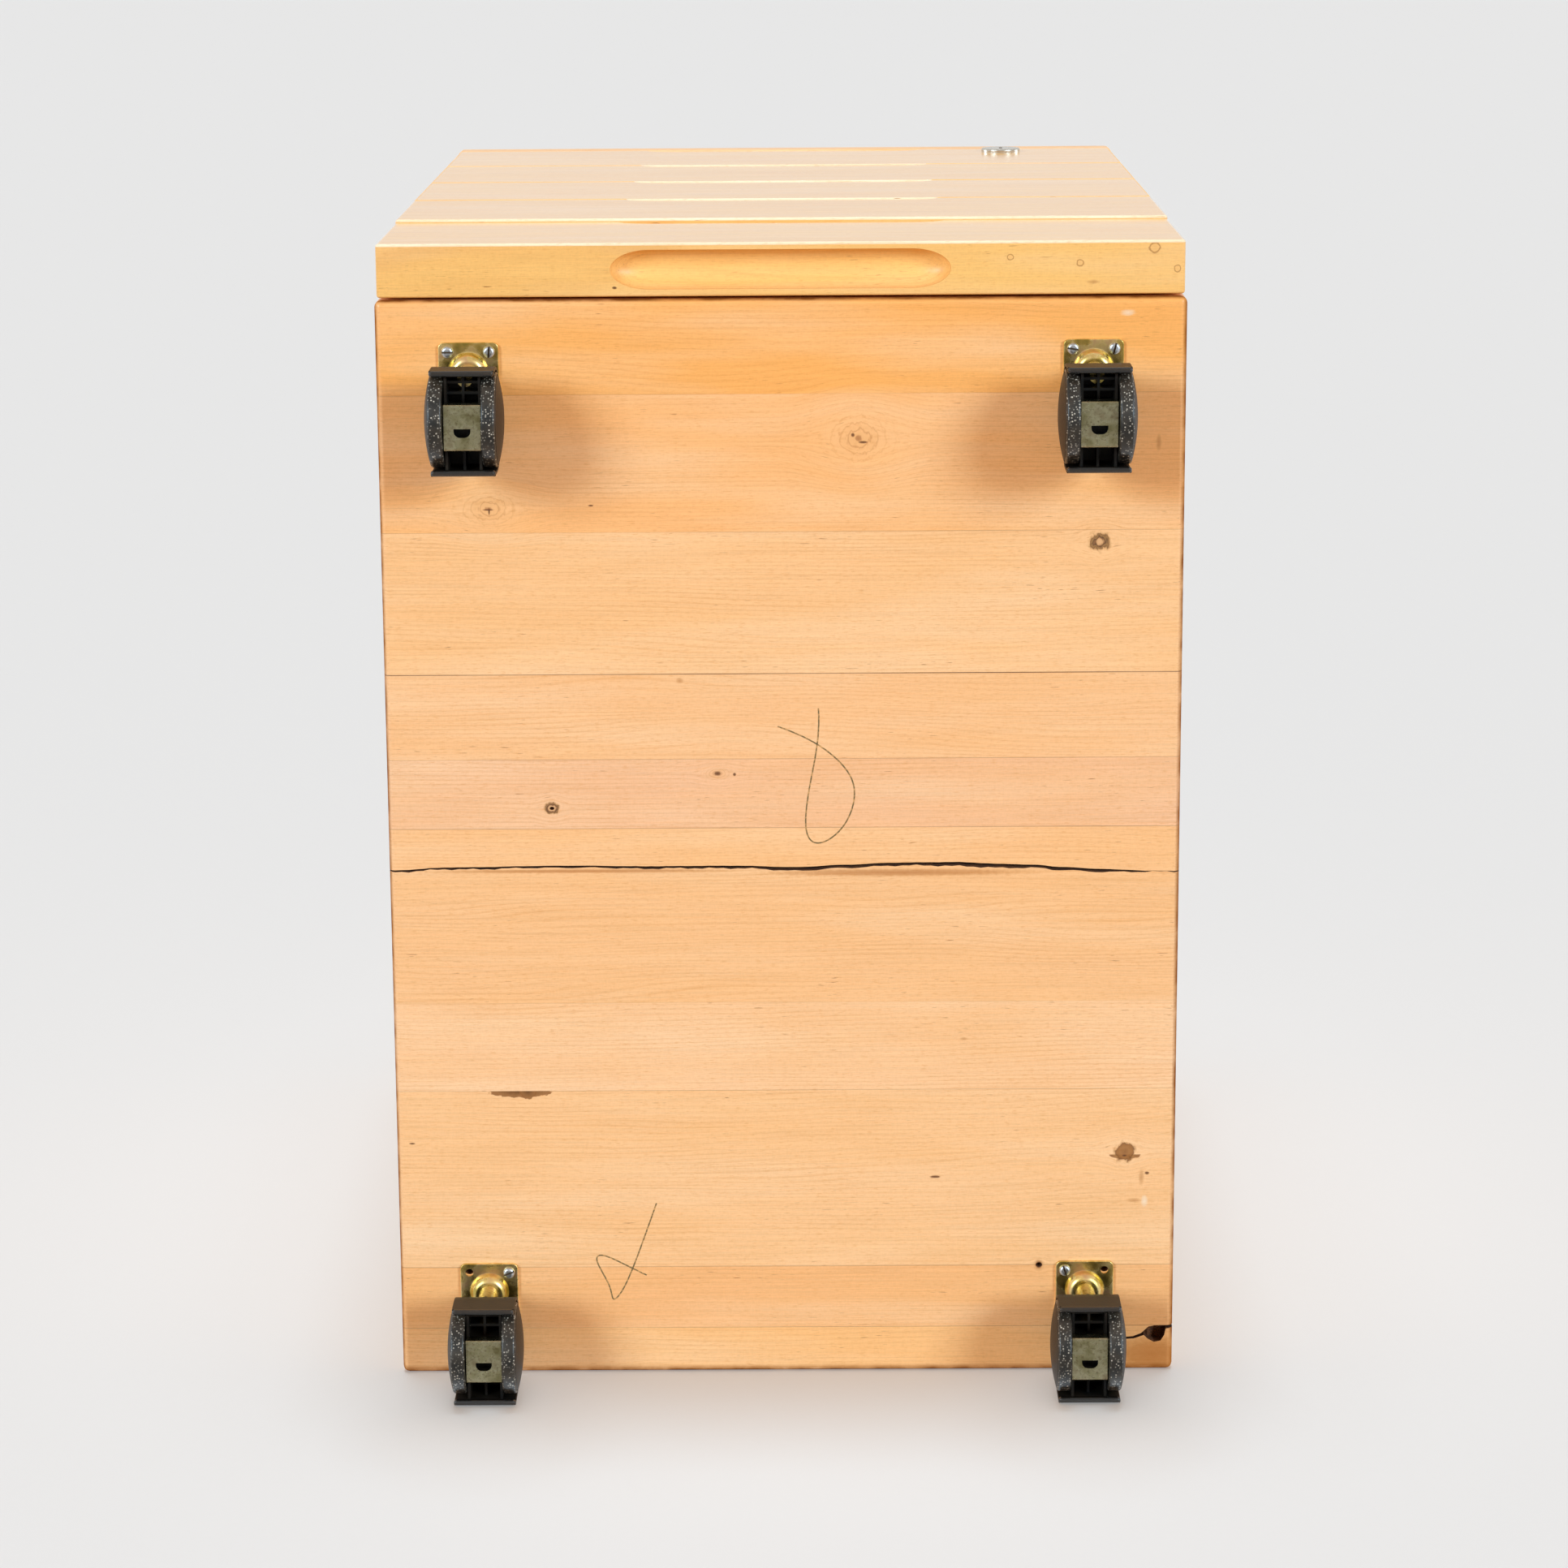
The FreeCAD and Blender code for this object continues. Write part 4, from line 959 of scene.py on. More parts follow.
    def execute(self, context):
        sizes = context.scene.pedestal_sizes
        low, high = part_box("bottom_board")
        back_low, back_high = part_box("back_panel")
        shape = bmesh.new()
        corners = block(shape, low, high)
        outer = [edge for edge in edges_between(corners) if middle(edge).z < high.z - MM]
        ease(shape, outer, sizes.board_easing, 4)
        grooves = bmesh.new()
        for side in (-1, 1):
            centre = side * (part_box("right_side")[0].x + high.x) / 2
            block(grooves, (centre - sizes.tongue_thickness / 2, low.y - MM, high.z - sizes.tongue_length),
                  (centre + sizes.tongue_thickness / 2, high.y + MM, high.z + MM))
        shape = carved(shape, grooves)
        shape = carved(shape, slab(back_low, back_high + Vector((0, MM, 0))))
        tools = [self.split_tool(low.z), self.corner_tool(low.z)]
        tools += [self.hole_tool(place, low.z) for place in (*self.holes, *self.lost_screws())]
        for tool in tools:
            shape = carved(shape, paint(tool, self.TORN))
        finish_piece(shape, "bottom_board_planks", "carcass",
                     [self.material(low.z), torn_wood()], ["bottom_board"])
        self.pencil_strokes(low.z)
        return {"FINISHED"}


class PEDESTAL_OT_carcass(bpy.types.Operator):
    """Finish the sides, the top, the back panel and the runners"""

    bl_idname = "pedestal.carcass"
    bl_label = "Carcass"

    tones = ("F5C492", "F3BE89", "F6C897", "F1BB86", "F4C18E")

    def execute(self, context):
        low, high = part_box("top_board")
        dress(["top_board"], wood("maple_top_board", "XYZ", stave_row(low.y, high.y, self.tones)))
        for side in ("left_side", "right_side"):
            low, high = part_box(side)
            dress([side], wood(f"maple_{side}", "ZYX", stave_row(low.y, high.y, self.tones)))
        low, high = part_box("back_panel")
        dress(["back_panel"], plywood("birch_back_panel", "ZXY", low.y, high.y))
        low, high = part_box("drawer_runners")
        dress(["drawer_runners"], wood("beech_runners", "YZX", [(low.z, "D9A871", 0.0)]))
        return {"FINISHED"}


class PEDESTAL_OT_drawer_fronts(bpy.types.Operator):
    """Make the five overlay fronts with their finger scoops and reliefs"""

    bl_idname = "pedestal.drawer_fronts"
    bl_label = "Drawer fronts"

    tones = ("FEC876", "FDC778", "FEC97C", "FCC574", "FDC87C")
    # Pale cream that paints a highlight on the fronts' rounded edges.
    rubbed = "FFE8C6"
    # Where a front's second stave starts, as a share of its height, and how dark the joint before it is.
    stave_share = 0.55
    stave_joint = 0.15
    # Places of the finishes in a front's list: polished faces come first.
    RUBBED = 1
    ROUTED = 2
    # The two lowest fronts carry the painted highlight along the whole of their edges, the others only where
    # a hand grips them.
    most_rubbed = DRAWERS[:2]
    # Least and most roughness of the polished faces and of the routed ones.
    polished = (0.12, 0.17)
    milled = (0.38, 0.5)

    # Marks on the lowest front's lower edge: kind, place across the width, place back from the front face,
    # half length and half width, in millimetres.
    marks = (("ring_stain", 197.2, 4.1, 3.4, 3.2), ("ring_stain", 158.0, 11.9, 2.2, 2.0),
             ("ring_stain", 121.2, 8.7, 2.0, 1.8), ("ring_stain", 209.3, 15.2, 2.0, 2.2),
             ("fleck", -87.6, 23.7, 1.5, 0.9), ("streak", 165.0, 22.0, 4.0, 1.2))

    def cove(self, radius, centre):
        """A long round-ended cutter that lies along the front."""
        sizes = bpy.context.scene.pedestal_sizes
        straight = sizes.scoop_length / 2 - sizes.scoop_run_out
        end = [(radius * math.cos(angle), straight + sizes.scoop_run_out * math.sin(angle))
               for angle in (math.pi / 2 * step / 14 for step in range(15))]
        outline = [(r, -x) for r, x in reversed(end)] + end
        return paint(turn(bmesh.new(), outline, centre, "X", 64), self.ROUTED)

    def execute(self, context):
        sizes = context.scene.pedestal_sizes
        low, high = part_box("top_board")
        # The fronts' rounded edges carry a painted highlight, made as a pale cream wood.
        rubbed = wood("maple_painted_highlight_edges", "XZY", [(low.z, self.rubbed, 0.0)], (), self.polished)
        for index, drawer in enumerate(DRAWERS):
            node_name = f"{drawer}_front"
            low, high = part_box(node_name)
            shape = bmesh.new()
            ease(shape, edges_between(block(shape, low, high)), sizes.front_easing, 4)
            for side in (-1, 1):
                bmesh.ops.bisect_plane(shape, geom=[*shape.verts, *shape.edges, *shape.faces],
                                       plane_co=(side * sizes.scoop_length / 2, 0, 0), plane_no=(1, 0, 0))
            # The rounded edges of the front face take the painted highlight, or else the rougher routed
            # finish.
            for face in shape.faces:
                place = face.calc_center_median()
                if near(place.y, low.y) or place.y > low.y + sizes.front_easing:
                    continue
                gripped = abs(place.x) < sizes.scoop_length / 2
                face.material_index = self.RUBBED if gripped or drawer in self.most_rubbed else self.ROUTED
            mid = (low.y + high.y) / 2
            shape = carved(shape, self.cove(sizes.scoop_width / 2, (0, mid, low.z)))
            shape = carved(shape, self.cove(sizes.relief_height, (0, low.y, high.z)))
            housings = bmesh.new()
            for side in ("left_side", "right_side"):
                block(housings, *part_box(f"{drawer}_{side}"))
            shape = carved(shape, housings)
            shape = carved(shape, slab(*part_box(f"{drawer}_bottom")))
            tone = self.tones[index % len(self.tones)]
            other = self.tones[(index + 2) % len(self.tones)]
            seam = low.z + self.stave_share * (high.z - low.z)
            staves = [(low.z, tone, 0.0), (seam, other, self.stave_joint)]
            marks = [(kind, (x * MM, low.y + y * MM, low.z), (along * MM, across * MM, 1.0))
                     for kind, x, y, along, across in self.marks if drawer == DRAWERS[0]]
            material = wood(f"maple_{node_name}", "XZY", staves, marks, self.polished)
            routed = wood(f"maple_{drawer}_routed", "XZY", staves, (), self.milled)
            finish_piece(shape, f"{drawer}_scooped_front", drawer, [material, rubbed, routed],
                         [node_name])
        return {"FINISHED"}


class PEDESTAL_OT_drawer_boxes(bpy.types.Operator):
    """Finish the drawer boxes behind the fronts"""

    bl_idname = "pedestal.drawer_boxes"
    bl_label = "Drawer boxes"

    side_tone = "EBC79A"
    back_tone = "E9C496"

    def execute(self, context):
        for drawer in DRAWERS:
            low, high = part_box(f"{drawer}_left_side")
            sides = wood(f"bare_{drawer}_sides", "YZX", [(low.z, self.side_tone, 0.0)])
            dress([f"{drawer}_left_side", f"{drawer}_right_side"], sides)
            dress([f"{drawer}_back"], wood(f"bare_{drawer}_back", "XZY", [(low.z, self.back_tone, 0.0)]))
            low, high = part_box(f"{drawer}_bottom")
            dress([f"{drawer}_bottom"], plywood(f"birch_{drawer}_bottom", "XYZ", low.z, high.z))
        return {"FINISHED"}


class PEDESTAL_OT_lock(bpy.types.Operator):
    """Finish the cam lock in the top drawer"""

    bl_idname = "pedestal.lock"
    bl_label = "Cam lock"

    def execute(self, context):
        finish = context.scene.pedestal_finish
        nickel = plated("polished_nickel", finish.nickel, 1.2 * MM, 0.16, 0.3)
        zinc = plated("bright_zinc", finish.zinc_bright, 1.0 * MM, 0.28, 0.45)
        dress(["lock_cylinder", "lock_plug"], nickel)
        dress(["lock_nut", "lock_cam"], zinc)
        return {"FINISHED"}


class PEDESTAL_OT_casters(bpy.types.Operator):
    """Make the four swivel casters with their plates, hoods, clips and wheels"""

    bl_idname = "pedestal.casters"
    bl_label = "Casters"

    # Places of the finishes in the hood's and the wheels' lists: dusty hood and gritty tread come first.
    RUBBED_LIP = 1
    PLATED_NECK = 2
    COVER = 1

    def swivel(self, place):
        """The foot of a caster's swivel axis on the floor."""
        low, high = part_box(f"caster_{place}_plate")
        return Vector(((low.x + high.x) / 2, (low.y + high.y) / 2, 0))

    def box(self, piece):
        """Corners of one caster's node, measured from its swivel axis."""
        place = CASTERS[0]
        return [corner - self.swivel(place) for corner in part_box(f"caster_{place}_{piece}")]

    def axle(self):
        """How far the axle lies behind the swivel axis and above the floor."""
        low, high = self.box("axle")
        return (low.y + high.y) / 2, (low.z + high.z) / 2

    def plate(self):
        """Pressed plate with its dome, its stem and four screw holes."""
        sizes = bpy.context.scene.pedestal_sizes
        low, high = self.box("plate")
        level = high.z - sizes.plate_thickness
        crown = level - sizes.dome_height
        shape = bmesh.new()
        corners = block(shape, (low.x, low.y, level), high)
        upright = [edge for edge in edges_between(corners) if near(middle(edge).z, (level + high.z) / 2)]
        ease(shape, upright, sizes.plate_corner, 5)
        ease(shape, [edge for edge in shape.edges if near(middle(edge).z, level)], sizes.plate_rim, 3)

        outline = [(0, low.z), (sizes.stem_radius, low.z), (sizes.stem_radius, crown),
                   (sizes.dome_crown, crown)]
        for step in range(1, 9):
            angle = math.pi / 2 * step / 9
            outline.append((sizes.dome_crown + (sizes.dome_radius - sizes.dome_crown) * math.sin(angle),
                            level - sizes.dome_height * math.cos(angle)))
        outline += [(sizes.dome_radius + sizes.plate_rim, level - sizes.plate_rim / 3),
                    (sizes.dome_radius + 3 * sizes.plate_rim, level),
                    (sizes.dome_radius, level + sizes.plate_rim), (0, level + sizes.plate_rim)]
        shape = carved(shape, turn(bmesh.new(), outline, (0, 0, 0), "Z", 48), "UNION")
        drill = [(0, level - MM), (sizes.plate_hole, level - MM),
                 (sizes.plate_hole, high.z + MM), (0, high.z + MM)]
        holes = bmesh.new()
        for x in (-1, 1):
            for y in (-1, 1):
                turn(holes, drill, (x * sizes.screw_spacing / 2, y * sizes.screw_spacing / 2, 0), "Z", 24)
        return carved(shape, holes)

    def hood(self):
        """Moulded arch over the wheels with rolled lips, and the ribbed block between the wheels."""
        sizes = bpy.context.scene.pedestal_sizes
        low, high = self.box("hood")
        clip_low, clip_high = self.box("clip")
        inner_x = self.box("wheel_right")[0].x
        back, up = self.axle()
        outer = (high.y - low.y) / 2
        inner = outer - sizes.hood_wall
        front_lip = up - sizes.front_lip_drop
        rear_lip = up - sizes.rear_lip_drop

        outline = [(back + outer, rear_lip), *arc((back, up), outer, 0, 180, 28), (back - outer, front_lip),
                   (back - inner, front_lip), *arc((back, up), inner, 180, 0, 28), (back + inner, rear_lip)]
        shape = prism(outline, low.x, high.x, "X")
        sides = [edge for edge in shape.edges if near(abs(middle(edge).x), high.x)]
        ease(shape, sides, sizes.hood_easing, 2)

        cheek_outer = inner_x - sizes.cheek_clearance
        cheek_inner = cheek_outer - sizes.cheek_thickness
        cheek_low = up - sizes.cheek_drop
        web_low = up + sizes.web_rise
        within = inner + sizes.hood_wall / 2
        filled = [(back + within, cheek_low), *arc((back, up), within, 0, 180, 28),
                  (back - within, cheek_low)]
        parts = [prism(filled, side * cheek_inner, side * cheek_outer, "X") for side in (-1, 1)]
        web_half = math.degrees(math.asin(sizes.web_rise / inner))
        web = arc((back, up), within, web_half, 180 - web_half, 24)
        parts.append(prism(web, -cheek_outer, cheek_outer, "X"))
        # The core and the ribs reach half a millimetre into the cheeks and one into the web.
        reach = cheek_inner + MM / 2
        top = web_low + MM
        front = back - inner
        core_front = clip_low.y + sizes.clip_sheet
        parts.append(slab((-reach, core_front, clip_low.z + sizes.clip_sheet),
                          (reach, clip_high.y - sizes.clip_sheet, top)))
        half = sizes.rib_thickness / 2
        rib_low = up - sizes.rib_drop
        for share in (1 / 3, 2 / 3):
            y = front + share * (core_front - front)
            parts.append(slab((-reach, y - half, rib_low), (reach, y + half, top)))
        parts.append(slab((-half, front - MM / 2, rib_low), (half, back + inner + MM / 2, top)))
        outline = [(0, top), (sizes.neck_radius, top), (sizes.neck_radius, high.z), (0, high.z)]
        parts.append(paint(turn(bmesh.new(), outline, (0, 0, 0), "Z", 32), self.PLATED_NECK))
        for part in parts:
            shape = carved(shape, part, "UNION")

        stem = sizes.stem_radius + sizes.stem_clearance
        foot = self.box("plate")[0].z - sizes.stem_clearance
        outline = [(0, foot), (stem, foot), (stem, high.z + MM), (0, high.z + MM)]
        shape = carved(shape, turn(bmesh.new(), outline, (0, 0, 0), "Z", 32))
        half = sizes.clip_slot_width / 2
        slot_front = (clip_low.y + clip_high.y) / 2 + sizes.clip_slot_start
        slot_rear = slot_front + sizes.clip_slot_length
        shape = carved(shape, slab((-half, slot_front, clip_low.z),
                                   (half, slot_rear, clip_low.z + sizes.slot_pocket)))

        lip = sizes.lip_radius
        end = high.x - lip
        outline = arc((0, -end), lip, -90, 0, 6) + arc((0, end), lip, 0, 90, 6)
        for y, z in ((low.y + lip, front_lip), (high.y - lip, rear_lip)):
            bead = paint(turn(bmesh.new(), outline, (0, y, z), "X", 24), self.RUBBED_LIP)
            shape = carved(shape, bead, "UNION")
        return shape

    def clip(self):
        """Bent steel sheet under the axle block, with a slot straight in front and rounded behind."""
        sizes = bpy.context.scene.pedestal_sizes
        low, high = self.box("clip")
        sheet = sizes.clip_sheet
        bend = 1.2 * sheet
        outline = [(low.y, high.z), *arc((low.y + bend, low.z + bend), bend, 180, 270, 5),
                   *arc((high.y - bend, low.z + bend), bend, 270, 360, 5), (high.y, high.z),
                   (high.y - sheet, high.z), (high.y - sheet, low.z + sheet), (low.y + sheet, low.z + sheet),
                   (low.y + sheet, high.z)]
        shape = prism(outline, low.x, high.x, "X")
        half = sizes.clip_slot_width / 2
        round_end = sizes.clip_slot_corner
        front = (low.y + high.y) / 2 + sizes.clip_slot_start
        rear = front + sizes.clip_slot_length
        outline = [(half, front), *arc((half - round_end, rear - round_end), round_end, 0, 90, 6),
                   *arc((round_end - half, rear - round_end), round_end, 90, 180, 6), (-half, front)]
        return carved(shape, prism(outline, low.z - MM, low.z + 2 * sheet, "Z"))

    def wheel(self):
        """Right-hand wheel: crowned tread, parting groove, domed cover, and an open web towards the hood."""
        sizes = bpy.context.scene.pedestal_sizes
        low, high = self.box("wheel_right")
        back, up = self.axle()
        radius = (high.z - low.z) / 2
        ease_by = sizes.tread_easing
        tread_end = low.x + sizes.tread_width
        rise = high.x - tread_end
        edge = radius - ease_by
        curve = (edge ** 2 + rise ** 2) / (2 * rise)
        groove = sizes.wheel_groove
        cover = []
        for step in range(13):
            across = (edge - 2 * groove) * step / 12
            cover.append((across, high.x - curve + math.sqrt(curve ** 2 - across ** 2)))
        crown = sizes.tread_crown
        outline = cover + [
            (edge - 1.5 * groove, tread_end - groove), (edge - 0.5 * groove, tread_end - groove),
            *arc((edge - crown, tread_end - ease_by), ease_by, 90, 0, 5),
            (radius, (low.x + tread_end) / 2),
            *arc((edge - crown, low.x + ease_by), ease_by, 0, -90, 5),
            (radius - sizes.wheel_rim, low.x), (radius - sizes.wheel_rim, low.x + sizes.wheel_recess),
            (sizes.wheel_hub, low.x + sizes.wheel_recess), (sizes.wheel_hub, low.x),
            (sizes.wheel_bore, low.x), (sizes.wheel_bore, high.x - sizes.wheel_cover),
            (0, high.x - sizes.wheel_cover),
        ]
        shape = turn(bmesh.new(), outline, (0, back, up), "X", 72)
        for face in shape.faces:
            place = face.calc_center_median()
            if math.hypot(place.y - back, place.z - up) <= edge - groove / 2:
                face.material_index = self.COVER
        return shape

    def execute(self, context):
        finish = context.scene.pedestal_finish
        gold = yellow_zinc("yellow_passivated_plate", ("B4A252", "D2B866", "F0D894", "E0BA88"), grimy=0.08)
        sheet = yellow_zinc("rubbed_zinc_clip", ("968C64", "AEA47E", "BFB592", "A89878"), grimy=0.6)
        hood_finish = [hood_nylon("dusty_hood_nylon", dusty=0.12, rough=0.4, mirror=0.22),
                       hood_nylon("rubbed_hood_nylon", dusty=0.02, rough=0.13, mirror=0.9), gold]
        wheel_finish = [wheel_nylon("gritty_tread_nylon", grit=1.0, dusty=0.2, rough=0.34, mirror=0.5),
                        wheel_nylon("cover_nylon", grit=0.1, dusty=0.06, rough=0.45, mirror=0.22)]
        patterns = {
            "plate": ("pressed_plate", self.plate(), "yellow_zinc", [gold]),
            "hood": ("moulded_hood", self.hood(), "hood_plastic", hood_finish),
            "clip": ("bent_clip", self.clip(), "yellow_zinc", [sheet]),
            "wheel_right": ("turned_wheel_right", self.wheel(), "wheel_plastic", wheel_finish),
        }
        left = self.wheel()
        bmesh.ops.scale(left, vec=(-1, 1, 1), verts=left.verts)
        patterns["wheel_left"] = ("turned_wheel_left", left, "wheel_plastic", wheel_finish)
        bodies = {"plate": "carcass", "hood": "caster_{}_swivel", "clip": "caster_{}_swivel",
                  "wheel_right": "caster_{}_wheel_right", "wheel_left": "caster_{}_wheel_left"}
        axle_zinc = plated("zinc_axle", finish.zinc_bright, 1.0 * MM, 0.3, 0.5)
        for place in CASTERS:
            for piece, (name, pattern, slot, materials) in patterns.items():
                shape = pattern.copy()
                bmesh.ops.translate(shape, vec=self.swivel(place), verts=shape.verts)
                finish_piece(shape, f"caster_{place}_{name}", bodies[piece].format(place), materials,
                             [f"caster_{place}_{piece}"])
            dress([f"caster_{place}_axle"], axle_zinc)
        for name, pattern, slot, materials in patterns.values():
            pattern.free()
        return {"FINISHED"}


class PEDESTAL_OT_screws(bpy.types.Operator):
    """Make the slotted pan-head screws of the casters and the runners"""

    bl_idname = "pedestal.screws"
    bl_label = "Wood screws"

    # Place of the slot's dirt and painted shade in the screws' list of finishes.
    GRIMY = 1
    # How far each screw's slot is turned from the one before it, in radians.
    slot_turn = 2.4

    def pattern(self):
        """One screw, its head hanging below the seat at the origin and its slot along X."""
        sizes = bpy.context.scene.pedestal_sizes
        head = sizes.screw_head
        height = sizes.screw_head_height
        round_by = height - sizes.screw_head_rim
        outline = [(0, sizes.screw_length), (sizes.screw_radius, sizes.screw_length - sizes.screw_radius),
                   (sizes.screw_radius, 0), (head, 0), (head, -sizes.screw_head_rim)]
        outline += arc((head - round_by, -sizes.screw_head_rim), round_by, 0, -90, 6)[1:] + [(0, -height)]
        shape = turn(bmesh.new(), outline, (0, 0, 0), "Z", 32)
        slot = slab((-head - MM, -sizes.screw_slot / 2, -height - MM),
                    (head + MM, sizes.screw_slot / 2, sizes.screw_slot_depth - height))
        return carved(shape, paint(slot, self.GRIMY))

    def seats(self):
        """Seat and driving direction of every screw."""
        sizes = bpy.context.scene.pedestal_sizes
        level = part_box(f"caster_{CASTERS[0]}_plate")[1].z - sizes.plate_thickness
        seats = [((x, y, level), Vector((0, 0, 1))) for x, y in plate_holes(empty=False)]
        low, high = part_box("drawer_runners")
        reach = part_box("wood_screws")[1].x - sizes.screw_length
        for drawer in DRAWERS:
            side_low, side_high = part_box(f"{drawer}_right_side")
            for y in (low.y + sizes.runner_screw_inset, high.y - sizes.runner_screw_inset):
                for side in (-1, 1):
                    seats.append(((side * reach, y, (side_low.z + side_high.z) / 2), Vector((side, 0, 0))))
        return seats

    def execute(self, context):
        finish = context.scene.pedestal_finish
        pattern = self.pattern()
        mesh = bpy.data.meshes.new("screw_pattern")
        pattern.to_mesh(mesh)
        pattern.free()
        shape = bmesh.new()
        for index, (seat, way) in enumerate(self.seats()):
            known = len(shape.verts)
            shape.from_mesh(mesh)
            shape.verts.ensure_lookup_table()
            upright = Matrix.Rotation(index * self.slot_turn, 3, "Z")
            driven = Vector((0, 0, 1)).rotation_difference(way).to_matrix() @ upright
            bmesh.ops.transform(shape, matrix=Matrix.Translation(seat) @ driven.to_4x4(),
                                verts=shape.verts[known:])
        bpy.data.meshes.remove(mesh)
        zinc = plated("zinc_screws", finish.zinc_bright, 0.8 * MM, 0.25, 0.45)
        finish_piece(shape, "slotted_wood_screws", "carcass",
                     [zinc, slot_grime()], ["wood_screws"])
        return {"FINISHED"}


class PEDESTAL_OT_stage(bpy.types.Operator):
    """Set up the floor, the lamps and the camera"""

    bl_idname = "pedestal.stage"
    bl_label = "Floor, lamps and camera"

    # Way towards each lamp, its strength and its apparent width in degrees. Each side of the unit gets about
    # as much light as the others.
    lamps = {
        "left_lamp": ((-1.0, 0.1, 0.3), 1.0, 30),
        "right_lamp": ((1.0, 0.1, 0.3), 1.0, 30),
        "front_lamp": ((0.0, -1.0, 0.12), 1.8, 14),
        "low_left_lamp": ((-0.66, -0.31, -0.685), 2.3, 20),
        "low_right_lamp": ((0.66, -0.31, -0.685), 2.3, 20),
        "top_lamp": ((0.0, 0.42, 1.0), 1.3, 30),
        "back_lamp": ((0.0, 1.0, 0.25), 2.3, 30),
        "floor_lamp": ((0.0, -1.0, 0.02), 1.15, 34),
    }
    # The two low lamps leave the floor paper out, the floor lamp lights nothing else, and the front lamp
    # throws no glare on the polished fronts.
    past_floor = ("low_left_lamp", "low_right_lamp")
    floor_only = ("floor_lamp",)
    no_glare = ("front_lamp",)
    # Where a lamp is drawn along its way, in metres. Its light doesn't depend on it.
    lamp_distance = 2.0

    def paper(self):
        """Matt studio paper, seen only from the side that the unit stands on."""
        finish = bpy.context.scene.pedestal_finish
        glow = bpy.context.scene.pedestal_stage.floor_glow
        material = bpy.data.materials.new("matt_floor_paper")
        material.use_nodes = True
        tree = material.node_tree
        tree.nodes.clear()
        spot = node(tree, "ShaderNodeTexCoord")["Object"]
        fibre = node(tree, "ShaderNodeTexNoise", {"Vector": spot, "Scale": 1 / (4 * MM), "Detail": 2.0})[0]
        shade = node(tree, "ShaderNodeMapRange", {
            "Value": fibre, "To Min": 0.995, "To Max": 1.005})["Result"]
        tint = node(tree, "ShaderNodeHueSaturation", {"Value": shade, "Color": finish.floor})["Color"]
        lit = node(tree, "ShaderNodeBsdfDiffuse", {"Color": tint})["BSDF"]
        pale = node(tree, "ShaderNodeEmission", {"Color": tint, "Strength": 1.0})["Emission"]
        front = node(tree, "ShaderNodeMixShader", {"Fac": glow, 1: lit, 2: pale})["Shader"]
        behind = node(tree, "ShaderNodeBsdfTransparent")["BSDF"]
        facing = node(tree, "ShaderNodeNewGeometry")["Backfacing"]
        mix = node(tree, "ShaderNodeMixShader", {"Fac": facing, 1: front, 2: behind})["Shader"]
        node(tree, "ShaderNodeOutputMaterial", {"Surface": mix})
        return material

    def lay_floor(self, name, turned, place, material):
        """One sheet of floor paper that takes shadows but casts neither shadow nor light."""
        size = bpy.context.scene.pedestal_stage.floor_size
        sheet = bmesh.new()
        bmesh.ops.create_grid(sheet, x_segments=1, y_segments=1, size=size)
        bmesh.ops.rotate(sheet, cent=(0, 0, 0), matrix=turned, verts=sheet.verts)
        bmesh.ops.translate(sheet, vec=place, verts=sheet.verts)
        mesh = bpy.data.meshes.new(name)
        sheet.to_mesh(mesh)
        sheet.free()
        mesh.materials.append(material)
        floor = bpy.data.objects.new(name, mesh)
        bpy.context.scene.collection.objects.link(floor)
        floor.visible_shadow = False
        floor.visible_diffuse = False
        return floor

    def hang_world(self):
        """Even fill light, with the pale backdrop seen by the camera and in reflections."""
        stage = bpy.context.scene.pedestal_stage
        finish = bpy.context.scene.pedestal_finish
        world = bpy.data.worlds.new("studio")
        world.use_nodes = True
        bpy.context.scene.world = world
        tree = world.node_tree
        tree.nodes.clear()
        path = node(tree, "ShaderNodeLightPath")
        seen = path["Is Camera Ray"]
        for way in ("Is Glossy Ray", "Is Transmission Ray"):
            seen = node(tree, "ShaderNodeMath", {0: seen, 1: path[way]}, operation="ADD", use_clamp=True)[0]
        fill = node(tree, "ShaderNodeBackground", {"Color": stage.fill_tint, "Strength": stage.fill})[0]
        backdrop = node(tree, "ShaderNodeBackground", {"Color": finish.floor, "Strength": 1.0})[0]
        mix = node(tree, "ShaderNodeMixShader", {"Fac": seen, 1: fill, 2: backdrop})["Shader"]
        node(tree, "ShaderNodeOutputWorld", {"Surface": mix})

    def hang_lamps(self, floors):
        """Soft lamps all round the unit."""
        stage = bpy.context.scene.pedestal_stage
        receivers = {}
        for state in ("INCLUDE", "EXCLUDE"):
            receivers[state] = bpy.data.collections.new(f"floor_paper_{state.lower()}d")
            for floor in floors:
                receivers[state].objects.link(floor)
            for held in receivers[state].collection_objects:
                held.light_linking.link_state = state
        for name, (way, strength, spread) in self.lamps.items():
            data = bpy.data.lights.new(name, "SUN")
            data.energy = strength
            data.color = stage.lamp_tint[:3]
            data.angle = math.radians(spread)
            lamp = bpy.data.objects.new(name, data)
            lamp.rotation_mode = "QUATERNION"
            lamp.rotation_quaternion = Vector(way).to_track_quat("Z", "Y")
            lamp.location = Vector(way) * self.lamp_distance
            lamp.visible_glossy = name not in self.no_glare
            if name in self.past_floor:
                lamp.light_linking.receiver_collection = receivers["EXCLUDE"]
            if name in self.floor_only:
                lamp.light_linking.receiver_collection = receivers["INCLUDE"]
            bpy.context.scene.collection.objects.link(lamp)

